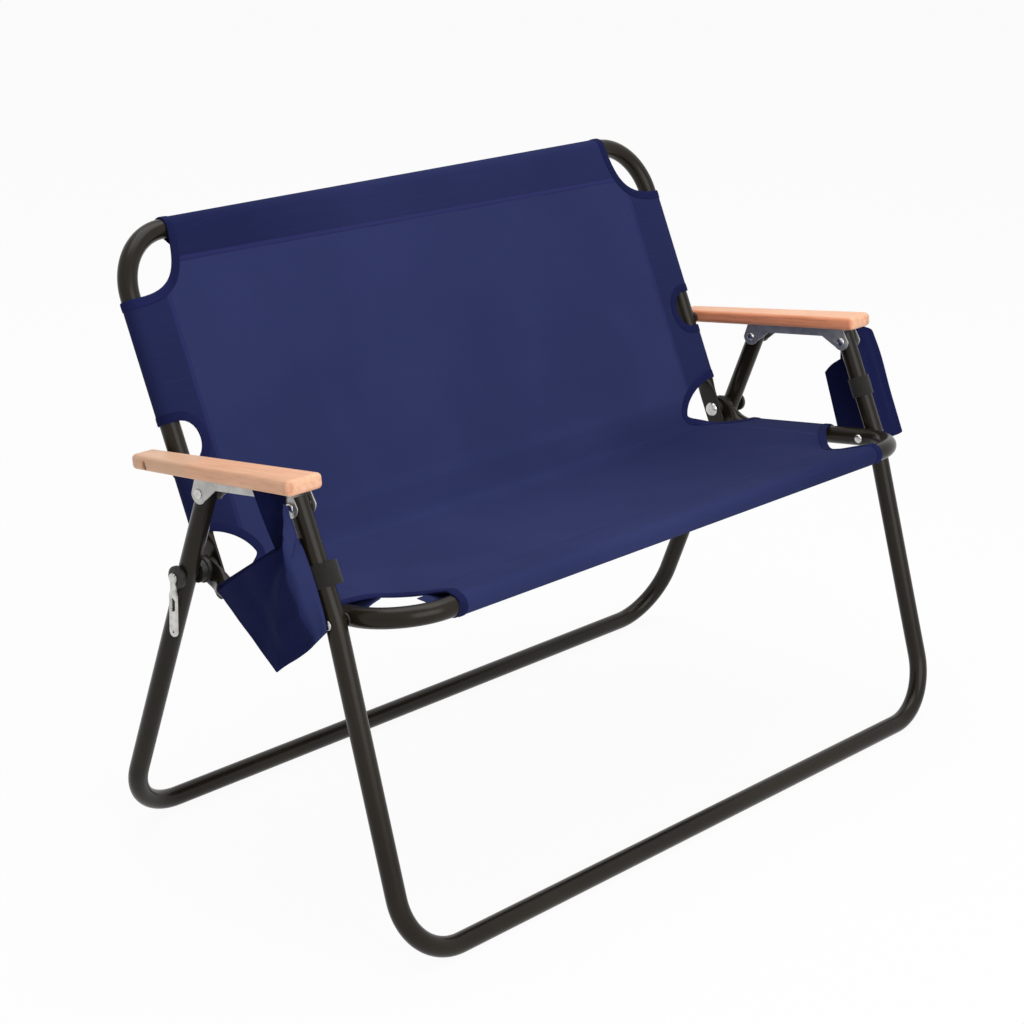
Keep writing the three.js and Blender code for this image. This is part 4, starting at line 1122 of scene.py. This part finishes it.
def hang_sling():
    sheet, flat, area = sling()
    tapes = bindings()
    start = place(0, CREASE_HIGH)
    end = place(0, CREASE_LOW)
    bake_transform(sheet)
    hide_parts("sling_back", "sling_seat", "sling_crease")
    for tape in tapes:
        if "_hinge_" in tape.name:
            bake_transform(tape)
        else:
            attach(tape, "seat" if "_front_" in tape.name else "backrest")


hang_sling()


# Bottle pockets: a shell lofted from its foot to its mouth, with folds from the mouth's corner.
# Outlines are side-view points, and band is where the front panel ends up the leg. Depths are rows up the
# pocket at the shares across it. A fold is an angle, spread and height, a pleat a share, spread and depth.
POCKET_X = 517.0
ACROSS = (0.0, 0.25, 0.5, 0.8, 0.93, 1.0)
HEIGHTS = (0.0, 0.35, 0.7, 0.92, 1.0)
SPLIT = ACROSS[3]
FRONT_FOLD = ACROSS[4]
CORNER_LEVEL = HEIGHTS[2]
LINED = 0.6
LINING_RISE = 1.07
POCKET_THICK = 1.1
HANGER_GAP = 0.6
PATTERN_WIDE = 0.16
POCKETS = {
    "left": {
        "foot": [(203, 303.5), (183, 320), (164, 334.5), (137, 358), (120, 377)],
        "mouth": [(296, 374), (249, 409), (203, 443), (160, 475)],
        "band": (183, 511),
        "front": [(122, 377), (126, 394), (135, 415), (146, 438), (160, 462), (175, 482), (184, 506)],
        "depth": [
            (2, 4, 6, 9, 4, 2), (4, 10, 17, 24, 6, 2), (6, 14, 23, 33, 8, 2),
            (7, 16, 25, 16, 5, 2), (8, 17, 26, 10, 4, 2),
        ],
        "folds": [(27, 7, -3.2), (10, 7, 2.6), (-7, 3, -2.0), (48, 9, 1.6)],
        "pleats": [],
        "hanger": [(204, 447), (191, 462), (189, 486), (190, 517.2), (244, 508.6), (222, 476)],
    },
    "right": {
        "foot": [(194, 359), (176, 361), (156, 364), (138, 368), (122, 371)],
        "mouth": [(225, 438), (215, 450), (202, 460), (184, 472)],
        "band": (190, 512),
        "front": [(120, 371), (144, 419), (168, 470), (190, 513)],
        "depth": [
            (4, 18, 32, 42, 47, 2), (6, 22, 36, 45, 48, 2), (7, 24, 37, 46, 50, 2),
            (8, 24, 35, 43, 48, 2), (8, 20, 27, 29, 30, 2),
        ],
        "folds": [(24, 9, -2.0), (6, 7, 1.8), (-12, 5, -1.6)],
        "pleats": [(0.951, 0.006, 3.6), (0.963, 0.005, -1.6), (0.976, 0.006, 2.0)],
        "hanger": [(203, 461), (186, 470), (187, 486), (188, 517.5), (206, 514.8), (205, 486)],
    },
}


def between(marks, value):
    """Index of the mark below a value and the eased share to the next."""
    k = max(i for i in range(len(marks) - 1) if marks[i] <= value or i == 0)
    return k, ease((value - marks[k]) / (marks[k + 1] - marks[k]))


def pocket_depth(rows, a, t):
    i, u = between(ACROSS, a)
    j, w = between(HEIGHTS, t)
    low, high = (row[i] + (row[i + 1] - row[i]) * u for row in rows[j:j + 2])
    return low + (high - low) * w


def pocket_spot(cut, a, t):
    """Side-view point and depth of the pocket's outer cloth at a share across and a share up."""
    corner = Vector(cut["mouth"][-1])
    if a <= SPLIT:
        spot = on_line(cut["foot"], a).lerp(on_line(cut["mouth"], a / SPLIT), t)
    else:
        if t < CORNER_LEVEL:
            crease = on_line(cut["foot"], SPLIT).lerp(corner, t / CORNER_LEVEL)
        else:
            crease = corner.lerp(Vector(cut["band"]), (t - CORNER_LEVEL) / (1 - CORNER_LEVEL))
        spot = crease.lerp(on_line(cut["front"], t), min(1.0, (a - SPLIT) / (FRONT_FOLD - SPLIT)))
    depth = pocket_depth(cut["depth"], a, t)
    away = spot - corner
    angle = math.degrees(math.atan2(away.x, -away.y))
    calm = min(1, away.length / 60) * min(1, a / 0.15) * min(1, (1 - a) / 0.12)
    for middle, spread, back in cut["pleats"]:
        spot.x += back * bell(a, middle, spread) * bump_over(t, 0.02, 0.98)
    if away.y < 10:
        for middle, spread, height in cut["folds"]:
            depth += height * calm * bell(angle, middle, spread)
    return spot, max(2.0, depth)


def bridge_rows(quad, first, second):
    """Faces between two rows of points that may differ in number."""
    i = j = 0
    while i < len(first) - 1 or j < len(second) - 1:
        ahead_i = (i + 1) / (len(first) - 1)
        ahead_j = (j + 1) / (len(second) - 1)
        if abs(ahead_i - ahead_j) < 1e-6:
            quad(first[i], first[i + 1], second[j + 1], second[j])
            i += 1
            j += 1
        elif ahead_i < ahead_j:
            quad(first[i], first[i + 1], second[j])
            i += 1
        else:
            quad(first[i], second[j + 1], second[j])
            j += 1


def panel_shade(a, t):
    """Painted shade on the left pocket: none on its front panel, which faces the light, and dark round the
    side.
    """
    above = ease((t - CORNER_LEVEL) / 0.15) if a >= SPLIT else 0
    return ease((0.86 - a) / 0.09) * (1 - above)


def pocket_shell(side):
    sign = SIDES[side]
    cut = POCKETS[side]
    shell = bmesh.new()
    pattern = shell.loops.layers.uv.new("pattern")
    # The darkening layer, which holds only painted shade here
    shade = shell.verts.layers.float.new("hem_and_painted_shade")
    seam = shell.verts.layers.float.new("seam_mm")
    shares = [0, 0.02, 0.05] + [0.1 + 0.05 * k for k in range(14)] + [0.785, SPLIT, 0.815, 0.85, 0.89]
    shares += [FRONT_FOLD + 0.005 * k for k in range(13)] + [1]
    levels = [k / 26 for k in range(27)]
    places = {}

    def vertex(x, spot, shading, place_on_cloth):
        made = shell.verts.new(place(sign * x, spot))
        made[shade] = shading
        made[seam] = SEAM_FAR
        places[made] = place_on_cloth
        return made

    def outer_vertex(a, t):
        spot, depth = pocket_spot(cut, a, t)
        # Painted shade: the right pocket is dark all over, the left one round its side
        shading = panel_shade(a, t) if side == "left" else 1.0
        return vertex(POCKET_X + depth, spot, shading, (a * PATTERN_WIDE, t * PATTERN_WIDE))

    def inner_vertex(a, t):
        spot, _ = pocket_spot(cut, min(a, LINED), t)
        if a > LINED:
            spot = spot.lerp(on_line(cut["front"], t * CORNER_LEVEL), (a - LINED) / (1 - LINED))
        # Painted shade all over the inside of the bag
        return vertex(POCKET_X, spot, 1.0, (0.4 - a * PATTERN_WIDE, t * PATTERN_WIDE))

    outer = [[outer_vertex(a, t) for t in levels] for a in shares]
    inner = [[inner_vertex(a, t * (LINING_RISE if a < 1 else 1)) for t in levels] for a in shares]

    def quad(*corners):
        for loop in shell.faces.new(corners).loops:
            loop[pattern].uv = places[loop.vert]

    for grid in (outer, inner):
        for first, second in zip(grid, grid[1:]):
            for k in range(len(levels) - 1):
                quad(first[k], second[k], second[k + 1], first[k + 1])
    for k in range(len(levels) - 1):
        quad(outer[0][k], outer[0][k + 1], inner[0][k + 1], inner[0][k])
    bridge_rows(quad, [column[0] for column in outer], [column[0] for column in inner])
    bridge_rows(quad, [v for v, t in zip(outer[-1], levels) if t <= CORNER_LEVEL], inner[-1])
    bmesh.ops.remove_doubles(shell, verts=shell.verts, dist=1e-6)
    bmesh.ops.recalc_face_normals(shell, faces=shell.faces)
    bulge = [face for face in shell.faces if face.calc_center_median().x * sign > (POCKET_X + 12) / 1000]
    if sum(face.normal.x * sign * face.calc_area() for face in bulge) < 0:
        bmesh.ops.reverse_faces(shell, faces=shell.faces)
    piece = as_piece(f"pocket_bag_{side}", shell)
    apply_modifier(piece, "SUBSURF", levels=1, render_levels=1)
    apply_modifier(piece, "SOLIDIFY", thickness=POCKET_THICK / 1000, offset=-1)
    surface(piece, 60, CANVAS)
    join_body(piece, "armrests", f"pocket_{side}")


def pocket_flap(side):
    """The hanger from under the board down to the mouth's front corner."""
    outline = POCKETS[side]["hanger"]
    sheet = cut_sheet(f"pocket_hanger_{side}", outline, range(190, 244, 6), range(450, 517, 6))
    for vertex in sheet.data.vertices:
        y, z = vertex.co.x, vertex.co.y
        swell = 1.6 * math.sin((y - 190) / 17) * bump_over(z, 447, 517)
        vertex.co = place(SIDES[side] * (POCKET_X + HANGER_GAP + swell), (y, z))
    apply_modifier(sheet, "SOLIDIFY", thickness=CLOTH_THICK / 1000, offset=0)
    # Painted shade: the hanger is coloured near-black
    surface(sheet, 60, HANGER_PAINTED_SHADE)
    join_body(sheet, "armrests", f"pocket_flap_{side}")
    flat_size(outline)


for side in SIDES:
    pocket_shell(side)
    pocket_flap(side)


# Leg straps: a webbing loop, slack on the inside front, drawn to the pocket behind
STRAP_RISE = {"left": 53, "right": 67}
STRAP_SLACK = {"left": (7.5, 6), "right": (0.6, 1.6)}
STRAP_ROWS = 6
STRAP_STEP = 0.0044
STRAP_GAP = 0.6
STRAP_THICK = 1.8


def leg_strap(side):
    sign = SIDES[side]
    centre = place(sign * LEG_X, KNEE + UP_BACK * STRAP_RISE[side])
    along = Vector((0, UP_BACK.x, UP_BACK.y))
    sideways = Vector((1, 0, 0))
    front = along.cross(sideways)
    strap = start_from(bpy.ops.mesh.primitive_circle_add, vertices=48, radius=0.0125)
    edit_all()
    for _ in range(STRAP_ROWS):
        bpy.ops.mesh.extrude_edges_move(TRANSFORM_OT_translate={"value": (0, 0, STRAP_STEP)})
    leave_edit()
    slack = Vector((-sign * 0.45, -0.9))
    hold = Vector((sign * 0.35, 0.94))
    loose, drawn = STRAP_SLACK[side]
    for vertex in strap.data.vertices:
        flat = vertex.co.xy.normalized()
        radius = TUBE_R + STRAP_GAP + loose * max(0, flat.dot(slack)) ** 2
        radius += drawn * max(0, flat.dot(hold)) ** 10
        spread = flat * radius / 1000
        lift = vertex.co.z - STRAP_STEP * STRAP_ROWS / 2
        vertex.co = centre + sideways * spread.x + front * spread.y + along * lift
    settle(strap, f"leg_strap_loop_{side}")
    face_outwards(strap)
    apply_modifier(strap, "SOLIDIFY", thickness=STRAP_THICK / 1000, offset=1)
    break_edges(strap, 0.5, 2, 50)
    surface(strap, 40, WEBBING)
    join_body(strap, "front_leg", f"leg_strap_{side}")


for side in SIDES:
    leg_strap(side)


# Studio: a pale floor that keeps a soft shadow, a white surround and broad lamps
FLOOR_GLOW = 0.94
ROOM_LIGHT = 0.36


def lamp(name, spot, size, power):
    light = bpy.data.lights.new(name, "AREA")
    light.shape = "RECTANGLE"
    light.size, light.size_y = size
    light.energy = power
    holder = bpy.data.objects.new(name, light)
    bpy.context.collection.objects.link(holder)
    holder.location = spot
    holder.rotation_euler = (Vector((0, 0, 0.4)) - Vector(spot)).to_track_quat("-Z", "Y").to_euler()


def studio():
    floor = start_from(bpy.ops.mesh.primitive_plane_add, size=30, location=(0, 0, -0.0005))
    floor.name = "studio_floor"
    pale = Finish("studio_floor", Base_Color=(0.93, 0.93, 0.93, 1), Roughness=0.9, Specular_IOR_Level=0.0)
    glow = pale.node("ShaderNodeEmission", None, {"Color": WHITE, "Strength": 1.0})
    plain = Value(pale, pale.shader.outputs["BSDF"])
    pale.show("Material Output", pale.seen_rays() * FLOOR_GLOW, plain, glow)
    floor.data.materials.append(pale.material)

    world = bpy.data.worlds.new("studio")
    bpy.context.scene.world = world
    world.use_nodes = True
    sky = Nodes(world.node_tree)
    room = sky.tree.nodes["Background"]
    room.inputs["Color"].default_value = WHITE
    room.inputs["Strength"].default_value = ROOM_LIGHT
    white = sky.node("ShaderNodeBackground", None, {"Color": WHITE, "Strength": 1.0})
    sky.show("World Output", sky.seen_rays(), Value(sky, room.outputs[0]), white)

    lamp("key_lamp", (-0.6, -3.2, 1.8), (2.8, 2.4), 60)
    lamp("top_lamp", (0.2, 0.2, 3.0), (2.6, 2.0), 44)
    bpy.context.scene.view_settings.view_transform = "Standard"


studio()
